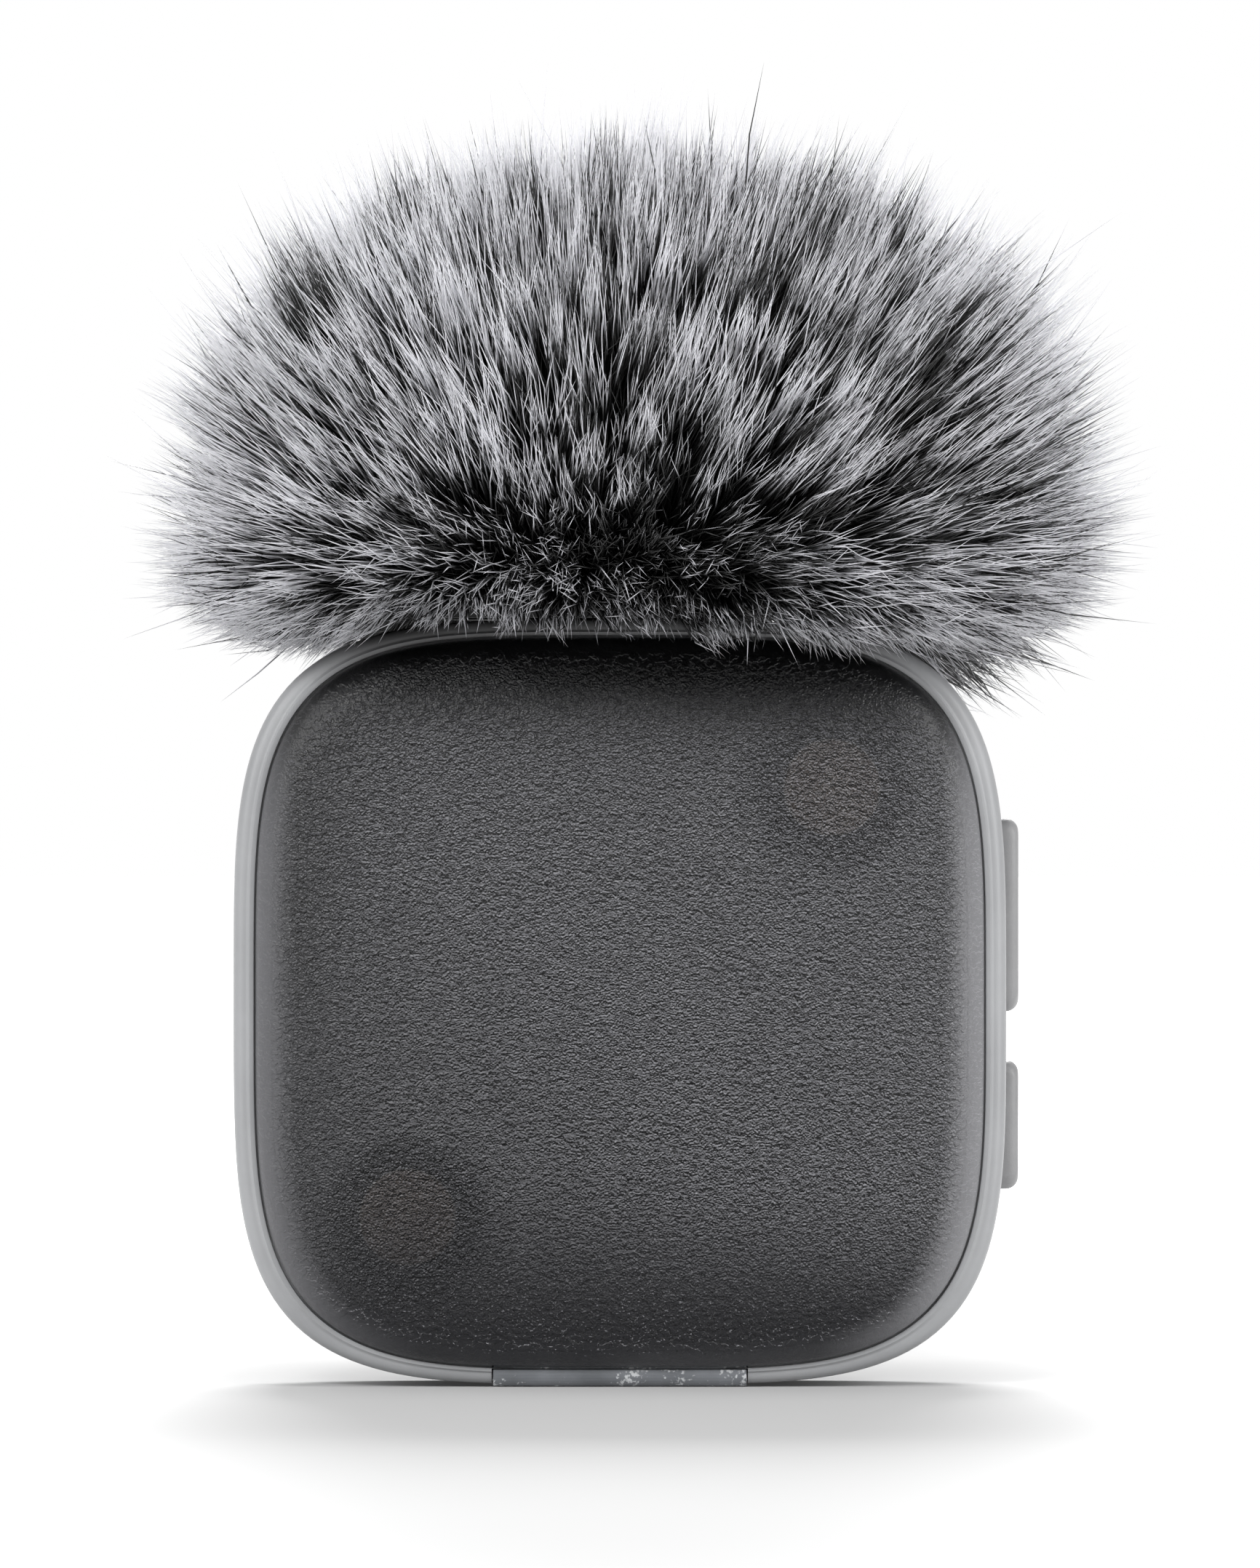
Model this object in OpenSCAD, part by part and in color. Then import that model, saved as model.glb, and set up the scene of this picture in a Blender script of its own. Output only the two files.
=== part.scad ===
// Clip-on lavalier microphone: a rounded-square wireless transmitter with a
// magnetic front cover, a swivelling spring clip and a furry windscreen.
// X is to the right seen from the front, the front faces -Y and Z is up. The origin
// is at the middle of the base face that the body stands on.

/* [Body] */
// Width of the frame
body_w = 26.26; // [25.5:0.1:28]
// Height of the frame
body_h = 26; // [25.5:0.1:28]
// Depth of the frame between its front and back faces
frame_depth = 6.8; // [6.7:0.1:8]
// Squareness of the rounded-square outline, where 2 is an ellipse
squareness = 4.05; // [3.6:0.05:5]
// Radius that rounds the outer edges of the frame
frame_edge_r = 0.6; // [0.3:0.05:0.7]
// Wall of the frame at its sides
frame_wall = 1.28; // [1.1:0.02:1.4]
// Wall of the frame at its top and bottom
frame_wall_z = 1.12; // [1:0.02:1.3]
// Width of the ledge that each cover sits on
ledge_w = 0.57; // [0.4:0.01:0.6]
// Depth of the seats that the covers sit in
seat_depth = 0.5; // [0.4:0.05:0.7]
// Width of the rib inside the frame that carries the tray and the board
rib_w = 0.55; // [0.4:0.05:0.8]

/* [Covers] */
// Gap round both covers in their seats
cover_gap = 0.1; // [0.05:0.01:0.14]
// How far the edges of the covers stand proud of the frame
cover_proud = 0.1; // [0:0.05:0.3]
// Height of the front cover's crown over its edge
front_crown = 1.9; // [1.4:0.1:2.4]
// Height of the back cover's crown over its edge
back_crown = 1.6; // [1.5:0.1:2]
// Wall of the front cover
cover_wall = 1.05; // [0.8:0.05:1.1]
// Wall of the back cover
back_wall = 1.2; // [1:0.05:1.25]
// How long the crown stays flat before it falls to the edge
crown_flatness = 3.2; // [2.4:0.1:4]
// Thickness of the gasket behind the back cover
gasket_t = 0.15; // [0.1:0.01:0.2]

/* [Cover magnets] */
// Distance of the two magnets from the body's centre line
magnet_x = 7.2; // [6.6:0.1:7.4]
// Height of the two magnets above and below the body's centre
magnet_z = 7.3; // [6.6:0.1:7.4]
// Diameter of each magnet
magnet_d = 3.3; // [2.8:0.1:3.6]
// Thickness of each magnet
magnet_t = 1.25; // [1:0.05:1.3]
// Outer diameter of the dark cup round each magnet
magnet_cup_d = 5.3; // [4.8:0.1:5.6]
// How far the cups stand in front of the tray
magnet_cup_h = 0.6; // [0.3:0.05:0.7]
// Diameter of the steel discs under the front cover
disc_d = 3.2; // [2.8:0.1:3.6]
// Thickness of the steel discs
disc_t = 0.35; // [0.25:0.05:0.4]

/* [Tray and board] */
// Thickness of the front tray
tray_t = 0.8; // [0.7:0.05:0.9]
// Thickness of the rib between the tray and the board
rib_t = 0.8; // [0.75:0.05:0.9]
// Thickness of the circuit board
board_t = 0.7; // [0.6:0.05:0.8]
// Gap between the board and what stands beside it
board_gap = 0.25; // [0.15:0.05:0.5]
// Height of the shield can
shield_h = 0.65; // [0.5:0.05:0.7]
// Width and height of the shield can, seen from the front
shield_size = [9, 8]; // [4:0.5:10]
// Inset of the board screws from the corners of the rib
screw_inset = 0.62; // [0.5:0.02:0.8]
// Radius of the screw shanks
screw_r = 0.45; // [0.3:0.05:0.5]
// Radius of the bosses that the screws go into
screw_boss_r = 1.1; // [0.9:0.05:1.3]

/* [Battery] */
// Width, thickness and height of the pouch cell
battery_size = [16.6, 3.2, 13.4]; // [3:0.1:17]
// Place of the cell's middle, to the right of the middle of its room and above the body's centre
battery_at = [0, -0.6]; // [-1:0.1:1]
// Thickness of the tape between the board and the cell
tape_t = 0.3; // [0.2:0.05:0.3]
// Width and height of the tape
tape_size = [10, 8]; // [4:0.5:12]

/* [Buttons] */
// Length of the link button
link_len = 6.57; // [5:0.1:7]
// Height of the link button's middle over the base
link_z = 15.99; // [15.6:0.1:16.4]
// Length of the power button
power_len = 4.4; // [3.5:0.1:5]
// Height of the power button's middle over the base
power_z = 8.84; // [8.4:0.1:9.2]
// Width of both buttons, from front to back
button_w = 2; // [1.6:0.1:2.1]
// How far the buttons stand proud of the frame's widest point
button_proud = 0.46; // [0.35:0.02:0.6]
// Radius that rounds the outer ends of the buttons
button_r = 0.5; // [0.3:0.05:0.55]
// Gap round the buttons in their slots
button_gap = 0.08; // [0.05:0.01:0.12]
// Travel of the buttons
button_travel = 0.3; // [0.2:0.05:0.3]

/* [Antenna] */
// Length of the antenna strip along the left wall
antenna_len = 10; // [6:0.5:12]
// Thickness of the antenna strip
antenna_t = 0.25; // [0.15:0.05:0.3]

/* [Base] */
// Width of the contact carrier in the base
carrier_w = 8.6; // [7.5:0.1:9]
// How far the carrier stands below the frame
base_proud = 0.05; // [0.03:0.01:0.2]
// How far the carrier reaches behind the frame's middle
carrier_back = 2.4; // [2:0.1:2.5]
// Number of charging contacts
contact_count = 4; // [2:1:5]
// Distance between the charging contacts
contact_pitch = 1.8; // [1.4:0.1:1.9]
// Diameter of the charging contacts
contact_d = 0.9; // [0.7:0.1:1]

/* [Sound port] */
// Radius of the socket in the top that the windscreen plugs into
port_r = 1.85; // [1.6:0.05:1.9]
// Depth of the socket
port_depth = 1.6; // [1.5:0.1:2]
// Place of the port behind the frame's middle
port_y = 0.3; // [0.2:0.05:0.4]
// Radius of the microphone capsule
capsule_r = 1.9; // [1.6:0.05:2]
// Height of the microphone capsule
capsule_h = 1.3; // [1:0.1:1.6]

/* [Clip] */
// Thickness of the swivel plate
plate_t = 1; // [0.8:0.05:1.2]
// Widest radius that the clip sweeps as it turns
clip_r = 9.95; // [9.5:0.05:10.5]
// Width of the swivel plate
plate_w = 11.2; // [9.5:0.1:12]
// Reach of the swivel plate below its axis
plate_down = 8.6; // [8:0.1:9]
// Reach of the swivel plate above its axis
plate_up = 7.4; // [6.6:0.1:8]
// Radius of the swivel's shaft
swivel_r = 1.5; // [1.2:0.05:1.8]
// Free space between the swivel plate and the lever
clip_throat = 3.1; // [2.8:0.1:3.4]
// Thickness of the lever
lever_t = 1.15; // [0.9:0.05:1.4]
// Width of the lever's jaw end
lever_w = 9; // [7.5:0.1:9.4]
// Width of the lever's thumb tab
tab_w = 7.4; // [6:0.1:7.8]
// Height of the lever's hinge over the swivel's axis
hinge_up = 5; // [4.6:0.1:5.2]
// Radius of the hinge pin
pin_r = 0.6; // [0.5:0.02:0.66]
// Thickness of the rubber pad under the jaw
pad_t = 0.4; // [0.3:0.05:0.6]

/* [Windscreen] */
// Width of the fur, to where its pile closes
fur_w = 30; // [28:0.5:35]
// Depth of the fur from front to back, to where its pile closes
fur_d = 23.6; // [22:0.4:27]
// Height of the fur over the body's top, to where its pile closes
fur_rise = 15; // [13:0.1:17]
// How far the fur hangs below the body's top
fur_hang = 0.45; // [0.3:0.05:0.55]
// Height of the fur's widest place over the body's top
fur_waist = 4.5; // [4:0.1:6]
// Sideways lean of the fur
fur_lean = 0.75; // [0:0.05:1.5]
// Width, depth and height of the foam core
foam_size = [13.6, 9.8, 5.4]; // [5:0.1:15]
// Thickness of the knitted backing over the foam
backing_t = 0.6; // [0.5:0.05:0.8]
// Thickness of the flange that the foam sits on
flange_t = 0.8; // [0.7:0.05:1]
// Height of the elastic band round the flange
band_h = 1.5; // [1.2:0.1:1.8]

/* [Clearances] */
// Gap between pieces that are placed beside each other
fit = 0.05; // [0.03:0.01:0.07]
// Gap round soft pieces
soft_gap = 0.3; // [0.2:0.05:0.4]
// Running clearance round the swivel and the hinge pin
run = 0.05; // [0.03:0.01:0.08]

/* [Hidden] */

$fn = 48;
ring_points = 64;    // points round each rounded-square ring
fur_points = 40;     // points round each ring of the fur and its core
corner_steps = 6;    // steps round each corner of a rounded rectangle
cut = 0.02;          // how far a cutter runs past the face that it opens

// Half sizes of the outlines, all as [x, z] about the body's centre
outer = [body_w/2, body_h/2];
cavity = outer - [frame_wall, frame_wall_z];
seat = cavity + [ledge_w, ledge_w];
cover = seat - [cover_gap, cover_gap];
rib = cavity - [rib_w, rib_w];
body_cz = base_proud + body_h/2;

// Levels from front to back
y_front = -frame_depth/2;
y_back = frame_depth/2;
y_tray = y_front + seat_depth;           // front of the tray and of the ledge
y_rib = y_tray + tray_t;                 // back of the tray
y_board = y_rib + rib_t;                 // front of the board
y_board_back = y_board + board_t;
y_cell = y_board_back + tape_t;
y_gasket = y_back - seat_depth;
y_cover_edge = y_front - cover_proud;
y_cover_top = y_cover_edge - front_crown;
y_back_edge = y_back + cover_proud;
y_back_top = y_back_edge + back_crown;

// Front cover and its magnets
disc_boss_t = 0.35;
disc_boss_wall = 0.5;
disc_seat = y_cover_top + cover_wall + 0.15;      // flat pads under the cover
magnet_front = disc_seat + disc_t + 2*fit;
cup_floor = 0.3;                                  // what the tray keeps behind a magnet at least
magnet_places = [[-magnet_x, -magnet_z], [magnet_x, magnet_z]];

// Swivel
land_r = 6;                                       // flat recess that the clip turns on
y_land = y_back_top - 0.15;
y_land_in = y_back_top - back_wall - fit;         // flat face inside the back cover
washer_t = 0.3;
y_plate = y_land + fit + washer_t;
y_plate_out = y_plate + plate_t;
y_lever = y_plate_out + clip_throat;
y_lever_out = y_lever + lever_t;
rivet_head_t = 0.5;
rivet_head_r = swivel_r + 0.9;
hinge_y = y_plate_out + 0.55*clip_throat;
ear_r = 1.25;
ear_x = [3.3, 4.5];                               // inner and outer faces of the ears
knuckle_x = [1.75, ear_x[0] - 2*run];
jaw_h = 2;
jaw_end = sqrt(pow(clip_r, 2) - pow(lever_w/2, 2));
jaw_face = y_plate_out + pad_t + fit;
tab_end = sqrt(pow(clip_r, 2) - pow(tab_w/2, 2));

// Buttons: each stack is laid out inwards from the wall
wall_x = outer[0];
cap_out = wall_x + button_proud;
seal_t = 0.28;
flange_out = cavity[0] - seal_t;
button_flange_t = 0.5;
button_lip = 0.22;                                // how far the flange overlaps the slot
flange_in = flange_out - button_flange_t;
stem_len = 0.35;
stem_in = flange_in - stem_len;
stem_y = 0.2;                                     // the stems and switches sit behind the board
stem_w = 0.8;
stem_h = 1.2;
switch_tip = stem_in - button_travel - fit;
switch_nub = 0.25;
nub_r = 0.5;
switch_size = [1.5, 1.6, 3.2];
switch_x = switch_tip - switch_nub - switch_size[0];
board_right = flange_in - button_travel - board_gap;

// Antenna and cell: the cell lies between the antenna and the switches
antenna_x = fit - cavity[0]*pow(1 - pow(antenna_len/2/cavity[1], squareness), 1/squareness);
cell_x = (antenna_x + antenna_t + switch_x)/2 + battery_at[0];
cell_z = battery_at[1];
cell_gap = 0.5;                                   // between the cell's ends and the chips beside them

// Base
carrier_top = -cavity[1];                         // top of the carrier in the wall
cover_low = -seat[1];                             // bottom of the seat for the cover
carrier_flange_t = 0.5;
carrier_lip = 0.6;
y_carrier_back = y_gasket - 0.3;
carrier_r = 0.4;
pad_recess = 0.03;
pad_h = 0.35;
contact_y = 0.3;

// Port, downwards from the top
top_z = outer[1];
port_flange_r = port_r + 0.65;
port_flange_t = 0.5;
port_barrel_r = port_r + 0.35;
port_floor = top_z - port_depth;
port_floor_t = 0.2;
port_hole_r = 1.2;
mesh_t = 0.1;
port_bottom = port_floor - port_floor_t;
boot_wall = 0.3;
boot_r = capsule_r + boot_wall;
boot_top = port_bottom;
capsule_top = boot_top - 0.2;
capsule_bottom = capsule_top - capsule_h;
boot_bottom = capsule_bottom - 0.2;
notch_w = boot_r + board_gap;                     // half width of the notches round the boot
notch_z = boot_bottom - board_gap;

// Windscreen, upwards from the body's top
body_top = body_cz + top_z;
flange_z = body_top + fit;
flange_half = [foam_size[0]/2 + 0.1, foam_size[1]/2 + 0.1];
band_t = 0.7;
foam_z = flange_z + flange_t + fit;
backing_z = flange_z + band_h + fit;
plug_r = port_r - run;
foam_half = [foam_size[0]/2, foam_size[1]/2];
backing_in = foam_half + [fit + 0.05, fit + 0.05];
backing_out = backing_in + [backing_t, backing_t];
dome_h = foam_size[2] + foam_z - backing_z + 0.1;
fur_swell = 2.05;                                 // how full its shoulders are, 2 being an ellipse
fur_clear = 0.35;                                 // between the fur and the body under it
fur_bottom = body_top - fur_hang;
fur_wide_z = body_top + fur_waist;
fur_top = body_top + fur_rise;

// ---- Outlines and lofts ----

function bent(v, power) = sign(v)*pow(abs(v), 2/power);

// Points on a rounded square of half sizes h = [x, z], or on an ellipse with power 2
function squircle(h, power = squareness, n = ring_points) =
    [for (i = [0:n - 1]) let (t = 360*i/n) [h[0]*bent(cos(t), power), h[1]*bent(sin(t), power)]];

function rounded_rect(w, h, r, x = 0, y = 0) =
    [for (q = [0:3], k = [0:corner_steps])
        let (t = 90*(q + k/corner_steps), sx = (q == 0 || q == 3) ? 1 : -1, sy = (q < 2) ? 1 : -1)
        [x + sx*(w/2 - r) + r*cos(t), y + sy*(h/2 - r) + r*sin(t)]];

function ring_y(h, y) = [for (p = squircle(h)) [p[0], y, p[1]]];
function ring_z(h, z, x = 0, y = 0) =
    [for (p = squircle(h, 2.25, fur_points)) [p[0] + x, p[1] + y, z]];

// Closed skin through rings of equal length, capped at both ends
module loft(rings) {
    n = len(rings[0]);
    last = len(rings) - 1;
    polyhedron(
        points = [for (r = rings) each r],
        faces = concat(
            [[for (i = [n - 1:-1:0]) i]],
            [for (k = [0:last - 1], i = [0:n - 1])
                let (a = k*n + i, b = k*n + (i + 1) % n) each [[a, b, b + n], [a, b + n, a + n]]],
            [[for (i = [0:n - 1]) last*n + i]]),
        convexity = 6);
}

// Share of full size and of full height along a crown, from its middle to its edge
crown_steps = [5, 24, 42, 57, 70, 81, 90];
function crown_s(t) = pow(sin(t), 2/crown_flatness);
function crown_rings(h, y_edge, rise) =
    [for (t = crown_steps) ring_y(h*crown_s(t), y_edge - rise*cos(t))];
function backwards(list) = [for (i = [len(list) - 1:-1:0]) list[i]];

// 2D children, in x and z, as a plate from y0 to y1
module plate_y(y0, y1) translate([0, y1, 0]) rotate([90, 0, 0]) linear_extrude(y1 - y0) children();
// 2D children, in y and z, as a bar from x0 to x1
module bar_x(x0, x1) translate([x0, 0, 0]) rotate([90, 0, 90]) linear_extrude(x1 - x0) children();
module pad_z(z0, z1) translate([0, 0, z0]) linear_extrude(z1 - z0) children();
module box(low, high) translate(low) cube(high - low);
// Everything in the body is laid out about its centre
module at_centre() translate([0, 0, body_cz]) children();

// ---- Housing ----

function edge_ring(t) = let (in = frame_edge_r*(1 - sin(t)), back = frame_edge_r*(1 - cos(t)))
    [outer - [in, in], back];
edge_steps = [0, 22.5, 45, 67.5, 90];

module frame_skin() loft(concat(
    [for (t = edge_steps) let (e = edge_ring(t)) ring_y(e[0], y_front + e[1])],
    backwards([for (t = edge_steps) let (e = edge_ring(t)) ring_y(e[0], y_back - e[1])])));

function screw_places() = [for (x = [-1, 1], z = [-1, 1])
    let (c = rib*bent(cos(45), squareness)) [x*(c[0] - screw_inset), z*(c[1] - screw_inset)]];

module button_slot(z, len) bar_x(cavity[0] - 1, wall_x + 1)
    polygon(rounded_rect(button_w + 2*button_gap, len + 2*button_gap, button_r, 0, z - body_cz));

// Flat seat in the curved wall for the flange and the seal of a button
module seal_seat(z, len) bar_x(flange_in - 1, cavity[0])
    polygon(rounded_rect(button_w + 2*(button_lip + fit), len + 4*button_lip + 2*fit, button_r, 0,
        z - body_cz));

module carrier_notch() {
    x = carrier_w/2 + fit;
    box([-x, y_front - 1, -outer[1] - 1], [x, y_tray + cut, cover_low + cut]);
    box([-x, y_tray, -outer[1] - 1], [x, carrier_back + fit, carrier_top + 1]);
    box([-x - carrier_lip, y_board, carrier_top], [x + carrier_lip, y_carrier_back + fit, carrier_top + 1]);
}

module port_cut() translate([0, port_y, 0]) {
    pad_z(top_z - port_flange_t - fit, top_z + 1) circle(port_flange_r + fit);
    pad_z(cavity[1] - 1, top_z) circle(port_barrel_r + fit);
}

module mid_frame() color([0.72, 0.72, 0.73]) at_centre() difference() {
    frame_skin();
    plate_y(y_front - 1, y_tray) polygon(squircle(seat));
    plate_y(y_tray - cut, y_rib) polygon(squircle(cavity));
    plate_y(y_rib - cut, y_board + cut) difference() {
        polygon(squircle(rib));
        for (p = screw_places()) translate(p) circle(screw_boss_r);
    }
    for (p = screw_places())
        plate_y(y_rib - cut, y_board + cut) translate(p) circle(screw_r);
    plate_y(y_board, y_gasket + cut) polygon(squircle(cavity));
    plate_y(y_gasket, y_back + 1) polygon(squircle(seat));
    box([-notch_w, y_rib - cut, notch_z], [notch_w, y_board + cut, cavity[1] - cut]);
    button_slot(link_z, link_len);
    button_slot(power_z, power_len);
    seal_seat(link_z, link_len);
    seal_seat(power_z, power_len);
    carrier_notch();
    port_cut();
}

module front_tray() color([0.42, 0.42, 0.43]) at_centre() difference() {
    union() {
        plate_y(y_tray, y_rib) polygon(squircle(cavity - [fit, fit]));
        for (p = magnet_places)
            plate_y(y_tray - magnet_cup_h, y_tray + cut) translate(p) circle(magnet_cup_d/2);
    }
    for (p = magnet_places)
        plate_y(y_tray - 1, min(magnet_front + magnet_t, y_rib - cup_floor))
            translate(p) circle(magnet_d/2 + fit);
}

module cover_magnets() color([0.55, 0.5, 0.46]) at_centre() for (p = magnet_places)
    plate_y(magnet_front, min(magnet_front + magnet_t, y_rib - cup_floor))
        translate(p) circle(magnet_d/2);

module front_cover() color([0.32, 0.32, 0.34]) at_centre() difference() {
    union() {
        y_low = y_tray - fit;
        inner = cover - [cover_wall, cover_wall];
        loft(concat(
            crown_rings(cover, y_cover_edge, front_crown),
            [ring_y(cover, y_low), ring_y(inner, y_low)],
            backwards(crown_rings(inner, y_cover_edge, front_crown - cover_wall))));
        for (p = magnet_places)
            plate_y(disc_seat - disc_boss_t, disc_seat) translate(p) circle(disc_d/2 + disc_boss_wall);
    }
    for (p = magnet_places) plate_y(disc_seat, y_tray) translate(p) circle(disc_d/2 + fit);
}

module cover_discs() color([0.5, 0.46, 0.43]) at_centre() for (p = magnet_places)
    plate_y(disc_seat, disc_seat + disc_t) translate(p) circle(disc_d/2);

rear_magnet_x = 7;
rear_magnet_r = 2.4;
rear_magnet_t = 0.6;
rear_magnet_y = y_land_in - rear_magnet_t;
rear_boss_wall = 0.5;
swivel_boss_wall = 0.6;
boss_root = 0.15;                                 // how far the bosses run into the cover's wall

module back_cover() color([0.14, 0.14, 0.15]) at_centre() difference() {
    union() {
        y_low = y_gasket + gasket_t;
        inner = cover - [back_wall, back_wall];
        loft(concat(
            [for (t = crown_steps) ring_y(inner*crown_s(t),
                y_back_edge + (back_crown - back_wall)*cos(t))],
            [ring_y(inner, y_low), ring_y(cover, y_low)],
            backwards([for (t = crown_steps) ring_y(cover*crown_s(t), y_back_edge + back_crown*cos(t))])));
        plate_y(y_land_in, y_land - boss_root) circle(rivet_head_r + swivel_boss_wall);
        for (x = [-rear_magnet_x, rear_magnet_x])
            plate_y(rear_magnet_y, y_land_in + boss_root)
                translate([x, 0]) circle(rear_magnet_r + rear_boss_wall);
    }
    plate_y(y_land, y_back_top + 1) circle(land_r);
    plate_y(y_gasket - 1, y_back_top) circle(swivel_r + run);
    plate_y(y_gasket - 1, y_land_in) circle(rivet_head_r + 2*run);
    for (x = [-rear_magnet_x, rear_magnet_x])
        plate_y(y_gasket - 1, y_land_in) translate([x, 0]) circle(rear_magnet_r + fit);
}

module rear_magnets() color([0.6, 0.6, 0.62]) at_centre() for (x = [-rear_magnet_x, rear_magnet_x])
    plate_y(rear_magnet_y, y_land_in) translate([x, 0]) circle(rear_magnet_r);

module frame_gasket() color([0.05, 0.05, 0.05]) at_centre() plate_y(y_gasket, y_gasket + gasket_t)
    difference() {
        polygon(squircle(seat - [fit, fit]));
        polygon(squircle(cavity + [fit, fit]));
    }

// ---- Electronics ----

module main_board() color([0.05, 0.18, 0.12]) at_centre() difference() {
    plate_y(y_board, y_board_back) intersection() {
        polygon(squircle(cavity - [board_gap, board_gap]));
        translate([-body_w, -body_h]) square([body_w + board_right, 2*body_h]);
    }
    box([-notch_w, y_board - 1, notch_z], [notch_w, y_board_back + 1, body_h]);
    for (p = screw_places()) plate_y(y_board - 1, y_board_back + 1) translate(p) circle(screw_r + fit);
    flange_x = carrier_w/2 + carrier_lip + fit;
    box([-flange_x, y_board - 1, -body_h],
        [flange_x, y_board_back + 1, carrier_top + carrier_flange_t + fit]);
}

screw_head_r = 2*screw_r;
screw_head_t = 0.4;
shield_at = [-1, 1.4];
shield_r = 0.4;
module shield_can() color([0.78, 0.78, 0.76]) at_centre()
    plate_y(y_board - shield_h, y_board)
        polygon(rounded_rect(shield_size[0], shield_size[1], shield_r, shield_at[0], shield_at[1]));

// Each chip on the front of the board is [x, z, width, height, thickness]
front_chips = [
    [6.2, 3.6, 2.6, 2.6, 0.6], [5.9, -1.4, 2, 3, 0.5], [-8.2, 2.4, 2.2, 3.2, 0.5],
    [0.6, -5.8, 3.4, 2.2, 0.6], [-4.4, -5.4, 1.6, 1.2, 0.45], [4.8, -5.6, 1.2, 1.2, 0.45],
    [-2.6, 7.6, 1.2, 2, 0.5]
];
// Each chip on its back lies between the cell and a screw, and is
// [side of the board, gap to the screw, end of the cell, width, height, thickness]
back_chips = [[-1, 0.5, 1, 4.2, 2.6, 0.9], [1, 0.5, 1, 4.2, 2.6, 0.9],
    [-1, 0.4, -1, 2, 2, 0.9], [1, 0.4, -1, 2, 2, 0.9]];
function beside_screw(c) = c[0]*(max([for (p = screw_places()) p[0]]) - screw_head_r - c[1] - c[3]/2);
function beside_cell(c) = cell_z + c[2]*(battery_size[2]/2 + cell_gap + c[4]/2);
module chip(c, y) plate_y(y, y + c[4])
    translate([c[0] - c[2]/2, c[1] - c[3]/2]) square([c[2], c[3]]);
module board_chips() color([0.08, 0.08, 0.09]) at_centre() {
    for (c = front_chips) chip(c, y_board - c[4]);
    for (c = back_chips) chip([beside_screw(c), beside_cell(c), c[3], c[4], c[5]], y_board_back);
}

module board_screws() color([0.7, 0.7, 0.72]) at_centre() for (p = screw_places()) {
    plate_y(y_rib + 2*fit, y_board_back + cut) translate(p) circle(screw_r);
    plate_y(y_board_back, y_board_back + screw_head_t) translate(p) circle(screw_head_r);
}

cell_r = 0.8;
module battery() color([0.68, 0.69, 0.72]) at_centre()
    plate_y(y_cell, y_cell + battery_size[1])
        polygon(rounded_rect(battery_size[0], battery_size[2], cell_r, cell_x, cell_z));

module battery_tape() color([0.9, 0.88, 0.8]) at_centre()
    plate_y(y_board_back, y_cell) translate([cell_x, cell_z]) square(tape_size, center = true);

module antenna() color([0.75, 0.5, 0.2]) at_centre()
    box([antenna_x, y_board_back + 2*fit, -antenna_len/2],
        [antenna_x + antenna_t, y_gasket - soft_gap, antenna_len/2]);

led_size = [1.2, 0.5, 0.8];
module status_led() color([0.95, 0.95, 0.85]) at_centre() {
    z = carrier_top + carrier_flange_t + board_gap;
    box([-led_size[0]/2, y_board - led_size[1], z], [led_size[0]/2, y_board, z + led_size[2]]);
}

module side_switch(z) at_centre() translate([0, 0, z - body_cz]) {
    box([switch_x, y_board_back, -switch_size[2]/2],
        [switch_x + switch_size[0], y_board_back + switch_size[1], switch_size[2]/2]);
    bar_x(switch_x + switch_size[0] - cut, switch_tip) translate([stem_y, 0]) circle(nub_r);
}
module link_switch() color([0.85, 0.85, 0.82]) side_switch(link_z);
module power_switch() color([0.85, 0.85, 0.82]) side_switch(power_z);

// ---- Buttons ----

module side_button(z, len) at_centre() translate([0, 0, z - body_cz]) {
    intersection() {
        bar_x(flange_out - cut, cap_out) polygon(rounded_rect(button_w, len, button_r));
        plate_y(-button_w, button_w)
            polygon(rounded_rect(2*(cap_out - flange_out) + 1, len, button_r, flange_out - 0.5));
    }
    bar_x(flange_in, flange_out)
        polygon(rounded_rect(button_w + 2*button_lip, len + 4*button_lip, button_r));
    bar_x(stem_in, flange_in + cut) translate([stem_y, 0]) square([stem_w, stem_h], center = true);
}
module link_button() color([0.62, 0.62, 0.62]) side_button(link_z, link_len);
module power_button() color([0.6, 0.6, 0.6]) side_button(power_z, power_len);

module button_seal(z, len) translate([0, 0, z - body_cz]) difference() {
    bar_x(flange_out, flange_out + seal_t - fit)
        polygon(rounded_rect(button_w + 2*button_lip, len + 4*button_lip, button_r));
    bar_x(flange_out - 1, wall_x)
        polygon(rounded_rect(button_w + 2*button_gap, len + 2*button_gap, button_r));
}
module button_seals() color([0.1, 0.1, 0.1]) at_centre() {
    button_seal(link_z, link_len);
    button_seal(power_z, power_len);
}

// ---- Base contacts ----

function contact_xs() = [for (i = [0:contact_count - 1]) (i - (contact_count - 1)/2)*contact_pitch];

// Side profile of the carrier in y and z, with its front lower edge rounded
function carrier_profile() = let (low = -body_cz, front = y_front + fit/2)
    concat([[carrier_back, low]], [for (k = [0:corner_steps]) let (t = 90*k/corner_steps)
        [front + carrier_r*(1 - sin(t)), low + carrier_r*(1 - cos(t))]],
        [[front, cover_low - fit/2], [y_tray + fit, cover_low - fit/2], [y_tray + fit, carrier_top],
         [carrier_back, carrier_top]]);

module contact_carrier() color([0.45, 0.46, 0.47]) at_centre() difference() {
    union() {
        bar_x(-carrier_w/2, carrier_w/2) polygon(carrier_profile());
        x = carrier_w/2 + carrier_lip;
        box([-x, y_board + fit, carrier_top + cut], [x, y_carrier_back, carrier_top + carrier_flange_t]);
        box([-carrier_w/2, y_board + fit, carrier_top - cut],
            [carrier_w/2, carrier_back, carrier_top + carrier_flange_t]);
    }
    for (x = contact_xs()) translate([x, contact_y, 0])
        pad_z(-body_cz - 1, carrier_top + 1) circle(contact_d/2 + fit/2);
}

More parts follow.
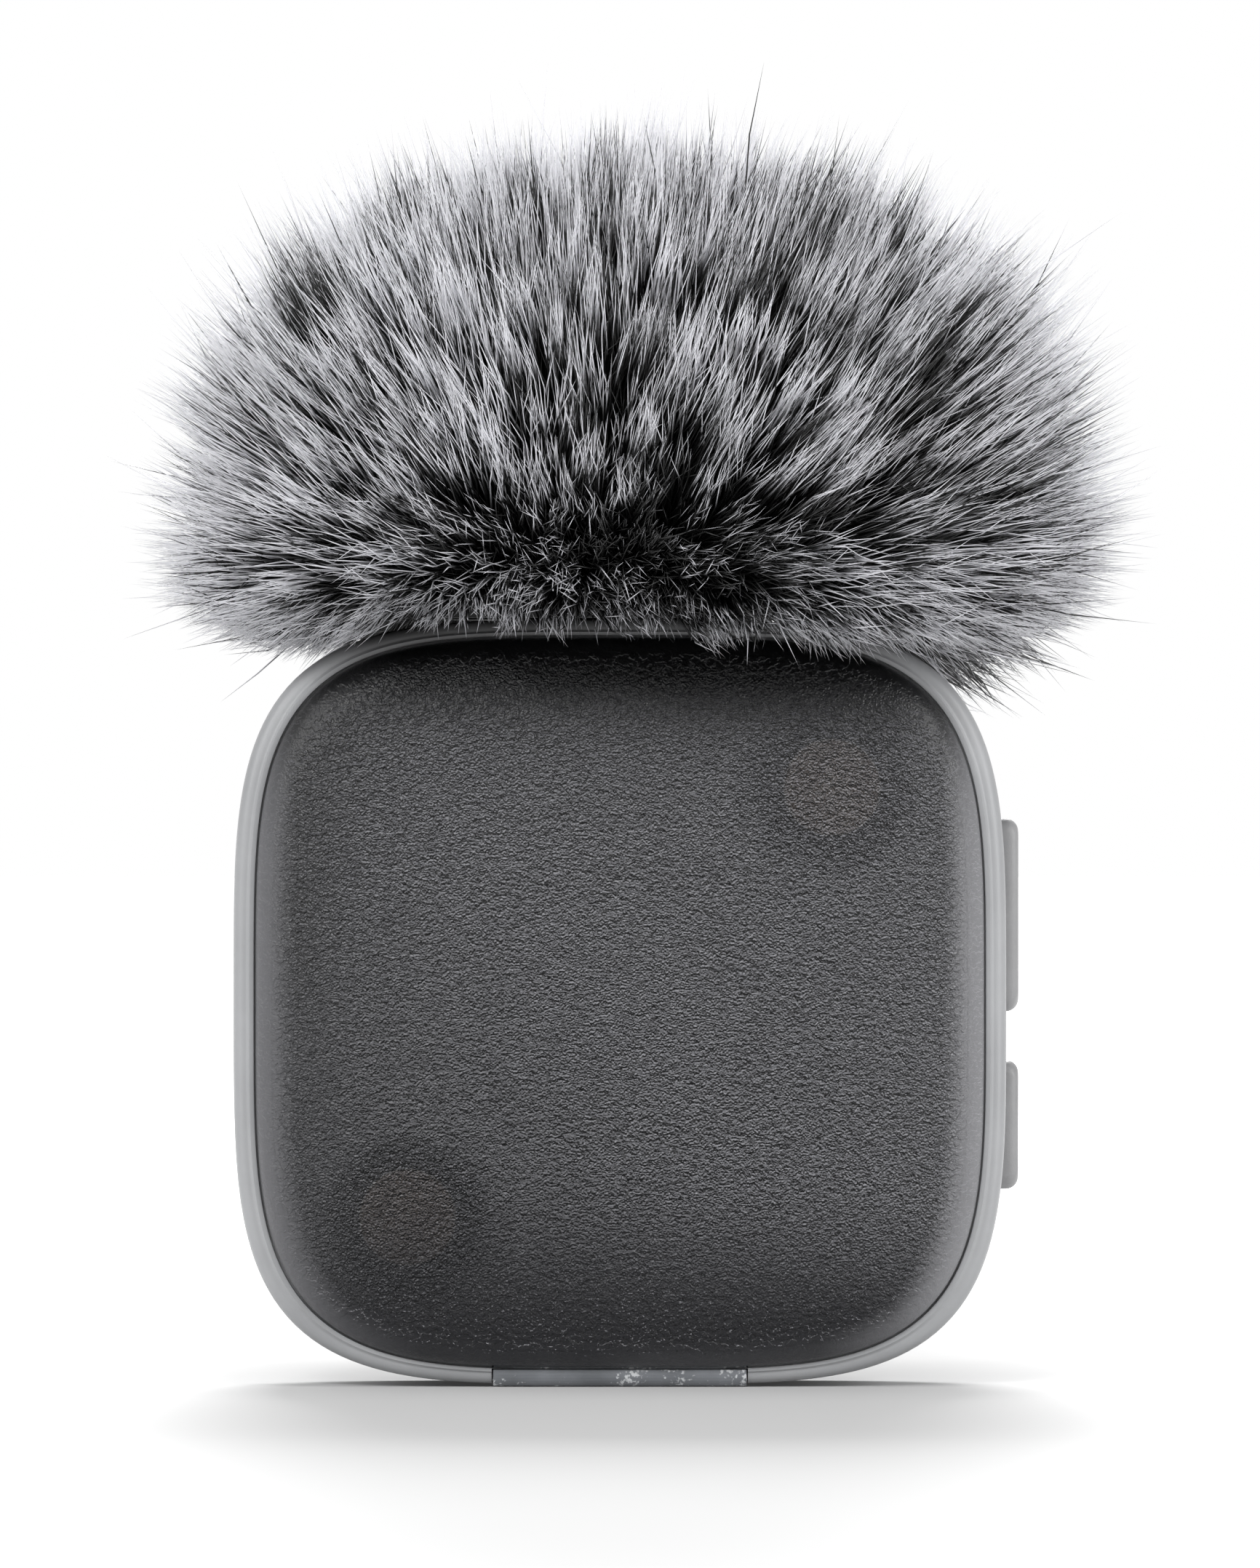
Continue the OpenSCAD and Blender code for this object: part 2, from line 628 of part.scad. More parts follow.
module contact_pads() color([0.85, 0.68, 0.3]) at_centre() for (x = contact_xs())
    translate([x, contact_y, 0]) pad_z(-body_cz + pad_recess, -body_cz + pad_recess + pad_h)
        circle(contact_d/2);

leaf_r = 0.25;
leaf_t = 0.2;
leaf_rise = 0.6;                                  // height of the springs over the carrier
module contact_springs() color([0.8, 0.65, 0.35]) at_centre() for (x = contact_xs())
    translate([x, 0, 0]) {
        top = carrier_top + carrier_flange_t + leaf_rise;
        translate([0, contact_y, 0]) pad_z(-body_cz + pad_recess + pad_h, top) circle(leaf_r);
        box([-leaf_r, y_board_back, top - leaf_t], [leaf_r, contact_y, top]);
    }

// ---- Microphone ----

module port_bezel() color([0.2, 0.2, 0.21]) at_centre() translate([0, port_y, 0]) difference() {
    union() {
        pad_z(top_z - port_flange_t, top_z) circle(port_flange_r);
        pad_z(port_bottom, top_z - cut) circle(port_barrel_r);
    }
    pad_z(port_floor, top_z + 1) circle(port_r);
    pad_z(port_bottom - 1, top_z) circle(port_hole_r);
}

module port_mesh() color([0.6, 0.6, 0.62]) at_centre() translate([0, port_y, 0])
    pad_z(port_floor, port_floor + mesh_t) circle(port_r - fit);

module mic_capsule() color([0.8, 0.78, 0.7]) at_centre() translate([0, port_y, 0])
    pad_z(capsule_bottom, capsule_top) circle(capsule_r);

module capsule_boot() color([0.08, 0.08, 0.08]) at_centre() translate([0, port_y, 0]) difference() {
    pad_z(boot_bottom, boot_top) circle(boot_r);
    pad_z(capsule_bottom, capsule_top) circle(capsule_r);
    pad_z(capsule_top - cut, boot_top + 1) circle(port_hole_r);
    pad_z(boot_bottom - 1, capsule_bottom + cut) circle(port_hole_r);
}

// Strip that runs up the back of the board, under the boot and through its floor
flex_w = 1.8;
flex_t = 0.15;
flex_down = 1.6;                                  // how far it lies on the board
flex_pad = 1;
module mic_flex() color([0.8, 0.5, 0.15]) at_centre() {
    top = boot_bottom - fit;
    y_out = y_board_back + flex_t;
    box([-flex_w/2, y_board_back, notch_z - flex_down], [flex_w/2, y_out, top]);
    box([-flex_w/2, y_out, top - flex_t], [flex_w/2, port_y + flex_pad/2, top]);
    box([-flex_pad/2, port_y - flex_pad/2, top - cut], [flex_pad/2, port_y + flex_pad/2, capsule_bottom]);
}

// ---- Clip ----

module swivel_rivet() color([0.75, 0.75, 0.77]) at_centre() {
    plate_y(y_land_in - fit - rivet_head_t, y_land_in - fit) circle(rivet_head_r);
    plate_y(y_land_in - fit - cut, y_plate_out) circle(swivel_r);
}

washer_r = 4.4;
module swivel_washer() color([0.8, 0.8, 0.8]) at_centre() plate_y(y_plate - washer_t, y_plate)
    difference() {
        circle(washer_r);
        circle(swivel_r + run);
    }

module ear_profile() {
    translate([hinge_y, hinge_up]) circle(ear_r);
    translate([y_plate_out - cut, hinge_up - ear_r]) square([hinge_y - y_plate_out + cut, 2*ear_r]);
}

plate_corner_r = 2.2;
module swivel_plate() color([0.12, 0.12, 0.13]) at_centre() {
    difference() {
        plate_y(y_plate, y_plate_out) intersection() {
            circle(clip_r, $fn = 96);
            polygon(rounded_rect(plate_w, plate_up + plate_down, plate_corner_r, 0,
                (plate_up - plate_down)/2));
        }
        plate_y(y_plate - 1, y_plate_out + 1) circle(swivel_r);
    }
    for (side = [-1, 1]) translate([side*(ear_x[0] + ear_x[1])/2, 0, 0]) difference() {
        w = (ear_x[1] - ear_x[0])/2;
        bar_x(-w, w) ear_profile();
        bar_x(-w - 1, w + 1) translate([hinge_y, hinge_up]) circle(pin_r);
    }
}

module clip_pin() color([0.82, 0.82, 0.84]) at_centre()
    bar_x(-ear_x[1], ear_x[1]) translate([hinge_y, hinge_up]) circle(pin_r);

// Coil of touching turns round the pin, with a leg on the plate and one on the lever
coil_turns = 8;
coil_wire_r = 0.17;
coil_pitch = 0.3;
coil_r = 0.95;
coil_core = 0.16;                                 // thickness of the tube that holds the turns
leg_len = 4.4;
leg_x = 0.9;
module spring_leg(y_start, y_end) {
    slope = atan((y_end - y_start)/leg_len);
    translate([0, y_start, hinge_up]) rotate([180 + slope, 0, 0])
        cylinder(r = coil_wire_r, h = leg_len/cos(slope));
}
module clip_spring() color([0.7, 0.7, 0.72]) at_centre() {
    translate([0, hinge_y, hinge_up]) rotate([0, 90, 0]) rotate_extrude() {
        for (i = [0:coil_turns - 1])
            translate([coil_r, (i - (coil_turns - 1)/2)*coil_pitch]) circle(coil_wire_r, $fn = 16);
        translate([coil_r - coil_core/2, -(coil_turns - 1)/2*coil_pitch])
            square([coil_core, (coil_turns - 1)*coil_pitch]);
    }
    translate([leg_x, 0, 0]) spring_leg(hinge_y - coil_r, y_plate_out + coil_wire_r + cut);
    translate([-leg_x, 0, 0]) spring_leg(hinge_y + coil_r, y_lever - coil_wire_r - cut);
}

pad_inset = 0.4;
pad_low = -plate_down + pad_inset;
pad_len = 2.8;
pad_groove = 0.12;                                // depth and half width of the grooves across the pad
module clip_pad() color([0.2, 0.2, 0.2]) at_centre() difference() {
    top = y_plate_out + pad_t;
    plate_y(y_plate_out, top)
        polygon(rounded_rect(lever_w - 2*pad_inset, pad_len, pad_inset, 0, pad_low + pad_len/2));
    for (i = [1:3]) let (z = pad_low + i*pad_len/4)
        box([-plate_w, top - pad_groove, z - pad_groove], [plate_w, top + 1, z + pad_groove]);
}

// Lever seen from the side, in y and z: a plate with a jaw at its lower end
function lever_profile() = [
    [y_lever_out - 0.35, -jaw_end], [y_lever_out, -jaw_end + 0.6], [y_lever_out, tab_end - 1.2],
    [y_lever_out - 0.35, tab_end], [y_lever + 0.1, tab_end], [y_lever, tab_end - 0.4],
    [y_lever, -jaw_end + jaw_h + 1], [y_lever - 0.9, -jaw_end + jaw_h],
    [jaw_face + 0.2, -jaw_end + jaw_h], [jaw_face, -jaw_end + jaw_h - 0.2],
    [jaw_face, -jaw_end + 0.3], [jaw_face + 0.3, -jaw_end]];

jaw_r = 1.6;                                      // corners of the lever seen from behind
tab_r = 1.2;
knuckle_r = ear_r - run;
module clip_lever() color([0.13, 0.13, 0.14]) at_centre() difference() {
    union() {
        intersection() {
            bar_x(-plate_w, plate_w) polygon(lever_profile());
            plate_y(y_plate_out, y_lever_out + 1) union() {
                polygon(rounded_rect(lever_w, jaw_end + hinge_up, jaw_r, 0, (hinge_up - jaw_end)/2));
                polygon(rounded_rect(tab_w, tab_end, tab_r, 0, tab_end/2));
            }
        }
        for (side = [-1, 1]) translate([side*(knuckle_x[0] + knuckle_x[1])/2, 0, 0]) {
            w = (knuckle_x[1] - knuckle_x[0])/2;
            bar_x(-w, w) {
                translate([hinge_y, hinge_up]) circle(knuckle_r);
                translate([hinge_y, hinge_up - knuckle_r]) square([y_lever - hinge_y + cut, 2*knuckle_r]);
            }
        }
    }
    bar_x(-plate_w, plate_w) translate([hinge_y, hinge_up]) circle(pin_r + run);
}

// ---- Windscreen ----

module oval_z(z0, z1, half) pad_z(z0, z1) translate([0, port_y]) polygon(squircle(half, 2.25, fur_points));

// Rings of a dome from its top down to its foot
dome_steps = [8, 30, 50, 70, 90];
function dome_rings(half, z, rise) =
    [for (t = dome_steps) ring_z(half*sin(t), z + rise*cos(t), 0, port_y)];

module windscreen_base() color([0.1, 0.1, 0.1]) difference() {
    union() {
        oval_z(flange_z, flange_z + flange_t, flange_half);
        translate([0, port_y, 0])
            pad_z(body_cz + port_floor + mesh_t + fit, flange_z + cut) circle(plug_r);
    }
    translate([0, port_y, 0]) pad_z(body_cz, body_top + 5) circle(port_hole_r);
}

module windscreen_foam() color([0.18, 0.18, 0.18]) loft(dome_rings(foam_half, foam_z, foam_size[2]));

module windscreen_band() color([0.07, 0.07, 0.07]) difference() {
    oval_z(flange_z, flange_z + band_h, flange_half + [fit + band_t, fit + band_t]);
    oval_z(flange_z - 1, flange_z + band_h + 1, flange_half + [fit, fit]);
}

module windscreen_backing() color([0.06, 0.06, 0.06]) loft(concat(
    dome_rings(backing_out, backing_z, dome_h + backing_t),
    backwards(dome_rings(backing_in, backing_z, dome_h))));

function fur_size(s) = [fur_w/2, fur_d/2]*s;
fur_rings = concat(
    [for (t = [7, 18, 30, 42, 54, 66, 78, 90])
        ring_z(fur_size(bent(sin(t), fur_swell)),
            fur_wide_z + (fur_top - fur_wide_z)*bent(cos(t), fur_swell), fur_lean, port_y)],
    [for (u = [0.45, 0.75, 1])
        ring_z(fur_size(1 - 0.11*pow(u, 3)), fur_wide_z - (fur_wide_z - fur_bottom)*u, fur_lean, port_y)],
    [ring_z(backing_out + [soft_gap + 0.3, soft_gap + 0.3], fur_bottom, 0, port_y)],
    backwards(dome_rings(backing_out + [soft_gap, soft_gap], backing_z, dome_h + backing_t + soft_gap)));

module windscreen_fur() color([0.5, 0.5, 0.52]) difference() {
    loft(fur_rings);
    at_centre() plate_y(y_cover_top - 0.5, y_land + 1.1)
        polygon(squircle(outer + [fur_clear, fur_clear]));
}

mid_frame();
front_tray();
cover_magnets();
front_cover();
cover_discs();
back_cover();
rear_magnets();
frame_gasket();
main_board();
shield_can();
board_chips();
board_screws();
battery();
battery_tape();
antenna();
status_led();
link_switch();
power_switch();
link_button();
power_button();
button_seals();
contact_carrier();
contact_pads();
contact_springs();
port_bezel();
port_mesh();
mic_capsule();
capsule_boot();
mic_flex();
swivel_rivet();
swivel_washer();
swivel_plate();
clip_pin();
clip_spring();
clip_pad();
clip_lever();
windscreen_base();
windscreen_foam();
windscreen_band();
windscreen_backing();
windscreen_fur();
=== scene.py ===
import math

import bpy
import numpy as np
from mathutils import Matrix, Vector


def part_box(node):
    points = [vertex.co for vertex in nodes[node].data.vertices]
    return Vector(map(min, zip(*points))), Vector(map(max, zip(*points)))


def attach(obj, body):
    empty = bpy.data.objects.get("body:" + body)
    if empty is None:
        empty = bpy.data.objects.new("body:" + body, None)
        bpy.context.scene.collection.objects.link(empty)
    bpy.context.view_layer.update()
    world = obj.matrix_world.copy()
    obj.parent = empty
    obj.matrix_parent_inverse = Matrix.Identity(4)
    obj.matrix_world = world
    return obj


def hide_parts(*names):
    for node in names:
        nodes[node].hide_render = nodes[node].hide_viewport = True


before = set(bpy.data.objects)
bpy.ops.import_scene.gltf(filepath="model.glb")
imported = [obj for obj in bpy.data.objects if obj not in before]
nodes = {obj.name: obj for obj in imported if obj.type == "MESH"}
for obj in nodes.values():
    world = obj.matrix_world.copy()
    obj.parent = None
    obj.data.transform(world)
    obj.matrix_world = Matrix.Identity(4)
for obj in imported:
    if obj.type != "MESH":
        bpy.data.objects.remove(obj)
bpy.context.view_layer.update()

mm = 0.001
bodyHeight = 13.05     # height of the body's middle over the base, in mm
squareness = 4.05      # outline of the body and its covers, where 2 is an ellipse
outlineCount = 240     # points round each outline
sharpAngle = 32        # degrees, over which an edge stays sharp
portY = 0.3            # the sound port and the windscreen stand this far behind the middle, in mm
smooth = {"interpolation_type": "SMOOTHSTEP"}      # settings that many nodes share
colors = {"data_type": "RGBA"}
print("frame loaded,", len(nodes), "nodes")


def hexColor(code):
    channels = [int(code[i:i + 2], 16) / 255 for i in (1, 3, 5)]
    linear = [c / 12.92 if c <= 0.04045 else ((c + 0.055) / 1.055) ** 2.4 for c in channels]
    return (*linear, 1.0)


def feed(node, inputs):
    # fixed values and links, where a node stands for its own first output in use
    for key, value in inputs.items():
        if isinstance(value, bpy.types.Node):
            value = next(socket for socket in value.outputs if socket.enabled)
        if isinstance(value, bpy.types.NodeSocket):
            node.id_data.links.new(value, node.inputs[key])
        else:
            node.inputs[key].default_value = value


def addNode(tree, kind, settings=None, inputs=None):
    node = tree.nodes.new("ShaderNode" + kind)
    for key, value in (settings or {}).items():
        setattr(node, key, value)
    feed(node, inputs or {})
    return node


def span(side, pair, unit=1):
    # the two "From" or "To" values of a MapRange
    return {side + " Min": pair[0] * unit, side + " Max": pair[1] * unit}


def startMaterial(name, values):
    # a fresh Principled material, its constant values set straight on the sockets
    material = bpy.data.materials.new(name)
    material.use_nodes = True
    shader = material.node_tree.nodes["Principled BSDF"]
    feed(shader, values)
    return material, material.node_tree, shader


def surfaceFinish(name, values, tones, toneSize, grainSize, grainDepth, roughness, stretch=(1, 1, 1)):
    # two tones that drift over toneSize, a grain of grainSize as relief, and roughness
    # that runs between two values with the drift; all sizes are in millimetres
    material, tree, shader = startMaterial(name, values)
    place = addNode(tree, "TexCoord").outputs["Object"]
    stretched = addNode(tree, "Mapping", inputs={"Vector": place, "Scale": stretch})
    drift = addNode(tree, "TexNoise", inputs={
        "Vector": stretched, "Scale": 1 / (toneSize * mm), "Detail": 4.0, "Roughness": 0.6})
    tone = addNode(tree, "MapRange", inputs={"Value": drift, "From Min": 0.35, "From Max": 0.65})
    mixed = addNode(tree, "Mix", colors, {0: tone, 6: hexColor(tones[0]), 7: hexColor(tones[1])})
    gloss = addNode(tree, "MapRange", inputs={
        "Value": drift, "From Min": 0.3, "From Max": 0.7, **span("To", roughness)})
    grain = addNode(tree, "TexNoise", inputs={
        "Vector": stretched, "Scale": 1 / (grainSize * mm), "Detail": 3.0, "Roughness": 0.55})
    relief = addNode(tree, "Bump", inputs={"Height": grain, "Distance": grainDepth * mm})
    feed(shader, {"Base Color": mixed, "Roughness": gloss, "Normal": relief})
    return material


def tintBy(material, share, code):
    # lays a second colour over the material's own, as far as share says
    shader = material.node_tree.nodes["Principled BSDF"]
    own = shader.inputs["Base Color"].links[0].from_socket
    feed(shader, {"Base Color": addNode(material.node_tree, "Mix", colors,
                                        {0: share, 6: own, 7: hexColor(code)})})


# Rings and lofts, all in mm with the body's own middle as origin until they become meshes

def outlineRing(half, y):
    # evenly spaced points round a rounded square of half sizes half = (x, z)
    turn = np.linspace(0, 2 * math.pi, 25 * outlineCount + 1)
    x = half[0] * np.sign(np.cos(turn)) * np.abs(np.cos(turn)) ** (2 / squareness)
    z = half[1] * np.sign(np.sin(turn)) * np.abs(np.sin(turn)) ** (2 / squareness)
    length = np.concatenate([[0], np.cumsum(np.hypot(np.diff(x), np.diff(z)))])
    even = np.linspace(0, length[-1], outlineCount, endpoint=False)
    return np.stack([np.interp(even, length, x), np.full(outlineCount, y), np.interp(even, length, z)], 1)


def pillRing(x, halfY, halfZ, radius, steps=10):
    # rounded rectangle in y and z, at one x
    points = []
    for corner, side in enumerate(((1, 1), (-1, 1), (-1, -1), (1, -1))):
        for k in range(steps + 1):
            angle = math.pi / 2 * (corner + k / steps)
            points.append((x, side[0] * (halfY - radius) + radius * math.cos(angle),
                           side[1] * (halfZ - radius) + radius * math.sin(angle)))
    return np.array(points)


def loft(rings, closed=False, flip=False):
    # quads between the rings, and a cap at each end unless the last ring joins the first
    count = len(rings[0])
    points = np.concatenate(rings)
    total = len(rings)
    faces = []
    for k in range(total if closed else total - 1):
        a, b = k * count, ((k + 1) % total) * count
        for i in range(count):
            j = (i + 1) % count
            faces.append((a + i, a + j, b + j, b + i))
    if not closed:
        faces.append(tuple(range(count - 1, -1, -1)))
        faces.append(tuple((total - 1) * count + i for i in range(count)))
    if flip:
        faces = [face[::-1] for face in faces]
    return points, faces


def smoothFaces(mesh):
    mesh.polygons.foreach_set("use_smooth", [True] * len(mesh.polygons))
    mesh.set_sharp_from_angle(angle=math.radians(sharpAngle))


def meshPiece(name, shells, material):
    # one object from one or more closed shells, lifted to the body's height
    points, faces, start = [], [], 0
    for shellPoints, shellFaces in shells:
        points.append(shellPoints)
        faces += [tuple(i + start for i in face) for face in shellFaces]
        start += len(shellPoints)
    mesh = bpy.data.meshes.new(name)
    mesh.from_pydata(((np.concatenate(points) + (0, 0, bodyHeight)) * mm).tolist(), [], faces)
    smoothFaces(mesh)
    piece = bpy.data.objects.new(name, mesh)
    bpy.context.scene.collection.objects.link(piece)
    if material:
        mesh.materials.append(material)
    return piece


def cutAway(piece, shell):
    # takes the shell out of the piece, and leaves a plain mesh
    cutter = meshPiece(piece.name + "Cutter", [shell], None)
    cut = piece.modifiers.new("cut", "BOOLEAN")
    cut.operation = "DIFFERENCE"
    cut.solver = "EXACT"
    cut.use_self = True
    cut.object = cutter
    bpy.context.view_layer.update()
    evaluated = piece.evaluated_get(bpy.context.evaluated_depsgraph_get())
    mesh = bpy.data.meshes.new_from_object(evaluated)
    piece.modifiers.remove(cut)
    old = piece.data
    piece.data = mesh
    bpy.data.meshes.remove(old)
    bpy.data.objects.remove(cutter)
    smoothFaces(mesh)


def boxShell(low, high):
    x0, y0, z0 = low
    x1, y1, z1 = high
    rings = [np.array([(x0, y0, z), (x1, y0, z), (x1, y1, z), (x0, y1, z)]) for z in (z0, z1)]
    return loft(rings)


def tubeShell(axis, middle, radius, low, high, count=64):
    # solid cylinder along "y" or "z"
    turn = np.linspace(0, 2 * math.pi, count, endpoint=False)
    first = middle[0] + (1 if axis == "z" else -1) * radius * np.cos(turn)
    second = middle[1] + radius * np.sin(turn)
    rings = []
    for place in (low, high):
        level = np.full(count, place)
        rings.append(np.stack([first, second, level] if axis == "z" else [first, level, second], 1))
    return loft(rings)


# Camera: long lens, level with the middle of the picture
camera = {
    "distance": 550.0,     # mm in front of the body's front face
    "faceY": -3.4,
    "middle": (0.346, 20.46),
    "pictureHeight": 53.24,
    "sensor": 36.0,
}
cameraData = bpy.data.cameras.new("camera")
cameraData.sensor_width = camera["sensor"]
cameraData.lens = camera["sensor"] * camera["distance"] / camera["pictureHeight"]
cameraData.clip_start = 0.01
cameraData.clip_end = 50
cameraObject = bpy.data.objects.new("camera", cameraData)
cameraObject.location = Vector((camera["middle"][0], camera["faceY"] - camera["distance"],
                                camera["middle"][1])) * mm
cameraObject.rotation_euler = (math.pi / 2, 0, 0)
bpy.context.scene.collection.objects.link(cameraObject)
bpy.context.scene.camera = cameraObject

# Light: a soft lamp on each side, one high behind that lights the pile and throws the shadow
# forward, one overhead and one from the front that rakes the grain
light = {
    "ambient": 0.26,
    "lamps": [   # name, place, what it points at, width and height in mm, watts
        ("lampRight", (400, -290, 190), (0, 0, 18), (180, 380), 1.6),
        ("lampLeft", (-400, -290, 230), (0, 0, 18), (180, 380), 1.1),
        ("lampBack", (0, 430, 350), (0, 0, 16), (200, 220), 3.8),
        ("lampTop", (0, -80, 560), (0, 0, 20), (320, 260), 0.6),
        ("lampFront", (-170, -540, 330), (0, 0, 16), (160, 160), 1.6),
    ],
}
for name, place, target, size, watts in light["lamps"]:
    lamp = bpy.data.lights.new(name, "AREA")
    lamp.shape = "RECTANGLE"
    lamp.size = size[0] * mm
    lamp.size_y = size[1] * mm
    lamp.energy = watts
    lampObject = bpy.data.objects.new(name, lamp)
    lampObject.location = Vector(place) * mm
    lampObject.rotation_euler = (Vector(target) - Vector(place)).to_track_quat("-Z", "Y").to_euler()
    lampObject.visible_camera = False
    bpy.context.scene.collection.objects.link(lampObject)


def seenRays(tree):
    # 1 for what the eye sees, also in a mirror or through a clear piece, and 0 for the rest
    rays = addNode(tree, "LightPath")
    seen = addNode(tree, "Math", {"operation": "MAXIMUM"}, {
        0: rays.outputs["Is Camera Ray"], 1: rays.outputs["Is Glossy Ray"]})
    return addNode(tree, "Math", {"operation": "MAXIMUM"}, {
        0: seen, 1: rays.outputs["Is Transmission Ray"]})


world = bpy.data.worlds.new("studio")
world.use_nodes = True
bpy.context.scene.world = world
level = addNode(world.node_tree, "MapRange", inputs={
    "Value": seenRays(world.node_tree), "To Min": light["ambient"]})
feed(world.node_tree.nodes["Background"], {"Color": (1, 1, 1, 1), "Strength": level})

# Floor: pale, seen as white away from the object. Near it the glow is held back in a band that runs from
# front to back, a painted shadow that the lamps' real shadow falls on
floor = {
    "size": 6000.0, "sunk": 0.02, "diffuse": "#c6c6c6", "roughness": 0.9,
    "glow": (0.03, 1.0),        # near the object, and far away
    "reach": (90.0, 420.0),     # where the glow starts and where it is full, in mm
    "shadowNarrowing": 13.0,           # the glow comes this many times nearer at the sides, so the painted shadow is a narrow band
}
floorMaterial, tree, shader = startMaterial("paintedFloor", {
    "Base Color": hexColor(floor["diffuse"]), "Roughness": floor["roughness"], "Specular IOR Level": 0.0,
    "Emission Color": (1, 1, 1, 1)})
# painted shadow: the glow is dimmed near the object, over a short reach at the sides and a long one in
# front and behind
spot = addNode(tree, "Mapping", inputs={
    "Vector": addNode(tree, "TexCoord").outputs["Object"], "Scale": (floor["shadowNarrowing"], 1, 1)})
away = addNode(tree, "VectorMath", {"operation": "LENGTH"}, {0: spot})
glow = addNode(tree, "MapRange", smooth, {
    "Value": away, **span("From", floor["reach"], mm), **span("To", floor["glow"])})
glow = addNode(tree, "Math", {"operation": "MULTIPLY"}, {0: glow, 1: seenRays(tree)})
feed(shader, {"Emission Strength": glow})
half = floor["size"] / 2
corners = [(x * half * mm, y * half * mm, -floor["sunk"] * mm)
           for x, y in ((-1, -1), (1, -1), (1, 1), (-1, 1))]
floorMesh = bpy.data.meshes.new("floor")
floorMesh.from_pydata(corners, [], [(0, 1, 2, 3)])
floorMesh.materials.append(floorMaterial)
floorObject = bpy.data.objects.new("floor", floorMesh)
bpy.context.scene.collection.objects.link(floorObject)
print("camera, lamps and floor made")

# Smoked polycarbonate moulded against a leather-grained tool: a dark see-through skin of flat islands, each
# with a painted highlight on its upper lip and painted shade on its lower one, which smooths out towards
# the rim.
# Sizes are in mm, and spans are shares of the half width, counted from the middle
smoked = {
    "half": 12.35, "ior": 1.585, "roughness": 0.3, "specular": 0.26,
    "lower": "#050507", "upper": "#8e8e93",      # skin of a lip in painted shade, and of one with a painted highlight
    "island": 0.19, "islandStretch": (0.86, 0.3, 1), "lip": 0.045, "depth": 0.14,
    "warp": 0.07, "warpSize": 0.28, "pit": 0.07, "pitShare": 0.3,
    "contrast": 3.0, "steep": 0.2, "alpha": (0.97, 0.64),      # alpha of a steep lip in painted shade, and of the rest
    "smoothSpan": (0.88, 1.0), "rimRelief": 0.15,
    # direction of the painted light over the crown, and span and depth of the painted shade to its lower
    # left
    "light": (0.8, 0, 0.6), "shadeSpan": (-0.8, -0.05), "shade": 0.45,
    # painted shade over the upper and lower curve and along the rim: where it starts and ends, how strong
    # it is, and its tones and alpha
    "shadeFrom": (0.44, 0.68), "shadeTo": 0.9,                   # below and above the middle
    "rimSpan": (0.68, 0.95), "rimShade": (0.6, 0.15),           # on the left, and on the right
    "dark": ("#1d1d20", "#0b0b0c"), "darkAlpha": (0.9, 0.96),  # below and above the middle
    # painted light along the sides, where the pale frame shows through: tones, spans and least strength
    "glow": ("#69696c", "#939396"),                            # on the left, and on the right
    "glowSpan": (0.55, 1.0), "glowLeast": 0.12, "cornerSpan": (0.75, 0.9), "glowFrom": (0.92, 0.87),
    # painted glints on the high crests
    "glint": 0.8, "glintSpan": (0.6, 0.7),
}
smokedCover, tree, shader = startMaterial("smokedPolycarbonate", {
    "Roughness": smoked["roughness"], "IOR": smoked["ior"], "Specular IOR Level": smoked["specular"]})
full = smoked["half"] * mm
place = addNode(tree, "TexCoord").outputs["Object"]
centred = addNode(tree, "Mapping", inputs={"Vector": place, "Location": (0, 0, -bodyHeight * mm)})
bent = addNode(tree, "TexNoise", inputs={
    "Vector": centred, "Detail": 1.0, "Scale": 1 / (smoked["warpSize"] * mm)})
shift = addNode(tree, "VectorMath", {"operation": "SCALE"}, {
    0: bent.outputs["Color"], "Scale": 2 * smoked["warp"] * mm})
wavy = addNode(tree, "VectorMath", {"operation": "ADD"}, {0: centred, 1: shift})
flat = addNode(tree, "Mapping", inputs={"Vector": wavy, "Scale": smoked["islandStretch"]})
island = addNode(tree, "TexNoise", inputs={
    "Vector": flat, "Scale": 1 / (smoked["island"] * mm), "Detail": 2.5, "Roughness": 0.5})
terrace = addNode(tree, "MapRange", smooth, {
    "Value": island, "From Min": 0.5 - smoked["lip"], "From Max": 0.5 + smoked["lip"]})
pitted = addNode(tree, "TexNoise", inputs={
    "Vector": centred, "Scale": 1 / (smoked["pit"] * mm), "Detail": 0.0})
height = addNode(tree, "Math", {"operation": "MULTIPLY_ADD"}, {
    0: pitted, 1: smoked["pitShare"], 2: terrace})
# distance from the middle: sideways, upwards and along the rounded square
reach = addNode(tree, "VectorMath", {"operation": "ABSOLUTE"}, {0: centred})
reach = addNode(tree, "SeparateXYZ", inputs={0: reach})
across = addNode(tree, "Math", {"operation": "POWER"}, {0: reach.outputs[0], 1: squareness})
upward = addNode(tree, "Math", {"operation": "POWER"}, {0: reach.outputs[2], 1: squareness})
rim = addNode(tree, "Math", {"operation": "ADD"}, {0: across, 1: upward})
rim = addNode(tree, "Math", {"operation": "POWER"}, {0: rim, 1: 1 / squareness})
fade = addNode(tree, "MapRange", smooth, {
    "Value": rim, **span("From", smoked["smoothSpan"], full), "To Min": 1.0,
    "To Max": smoked["rimRelief"]})
relief = addNode(tree, "Bump", inputs={
    "Height": height, "Distance": smoked["depth"] * mm, "Strength": fade})
# how far the grain leans up or down from the wall behind it
lean = addNode(tree, "SeparateXYZ", inputs={0: relief})
wall = addNode(tree, "SeparateXYZ", inputs={0: addNode(tree, "NewGeometry").outputs["Normal"]})
lean = addNode(tree, "Math", {"operation": "SUBTRACT"}, {0: lean.outputs[2], 1: wall.outputs[2]})
# painted highlight and shade: grain that leans up is painted lighter, grain that leans down darker
paintedEmboss = addNode(tree, "Math", {"operation": "MULTIPLY", "use_clamp": True}, {
    0: lean, 1: smoked["contrast"]})
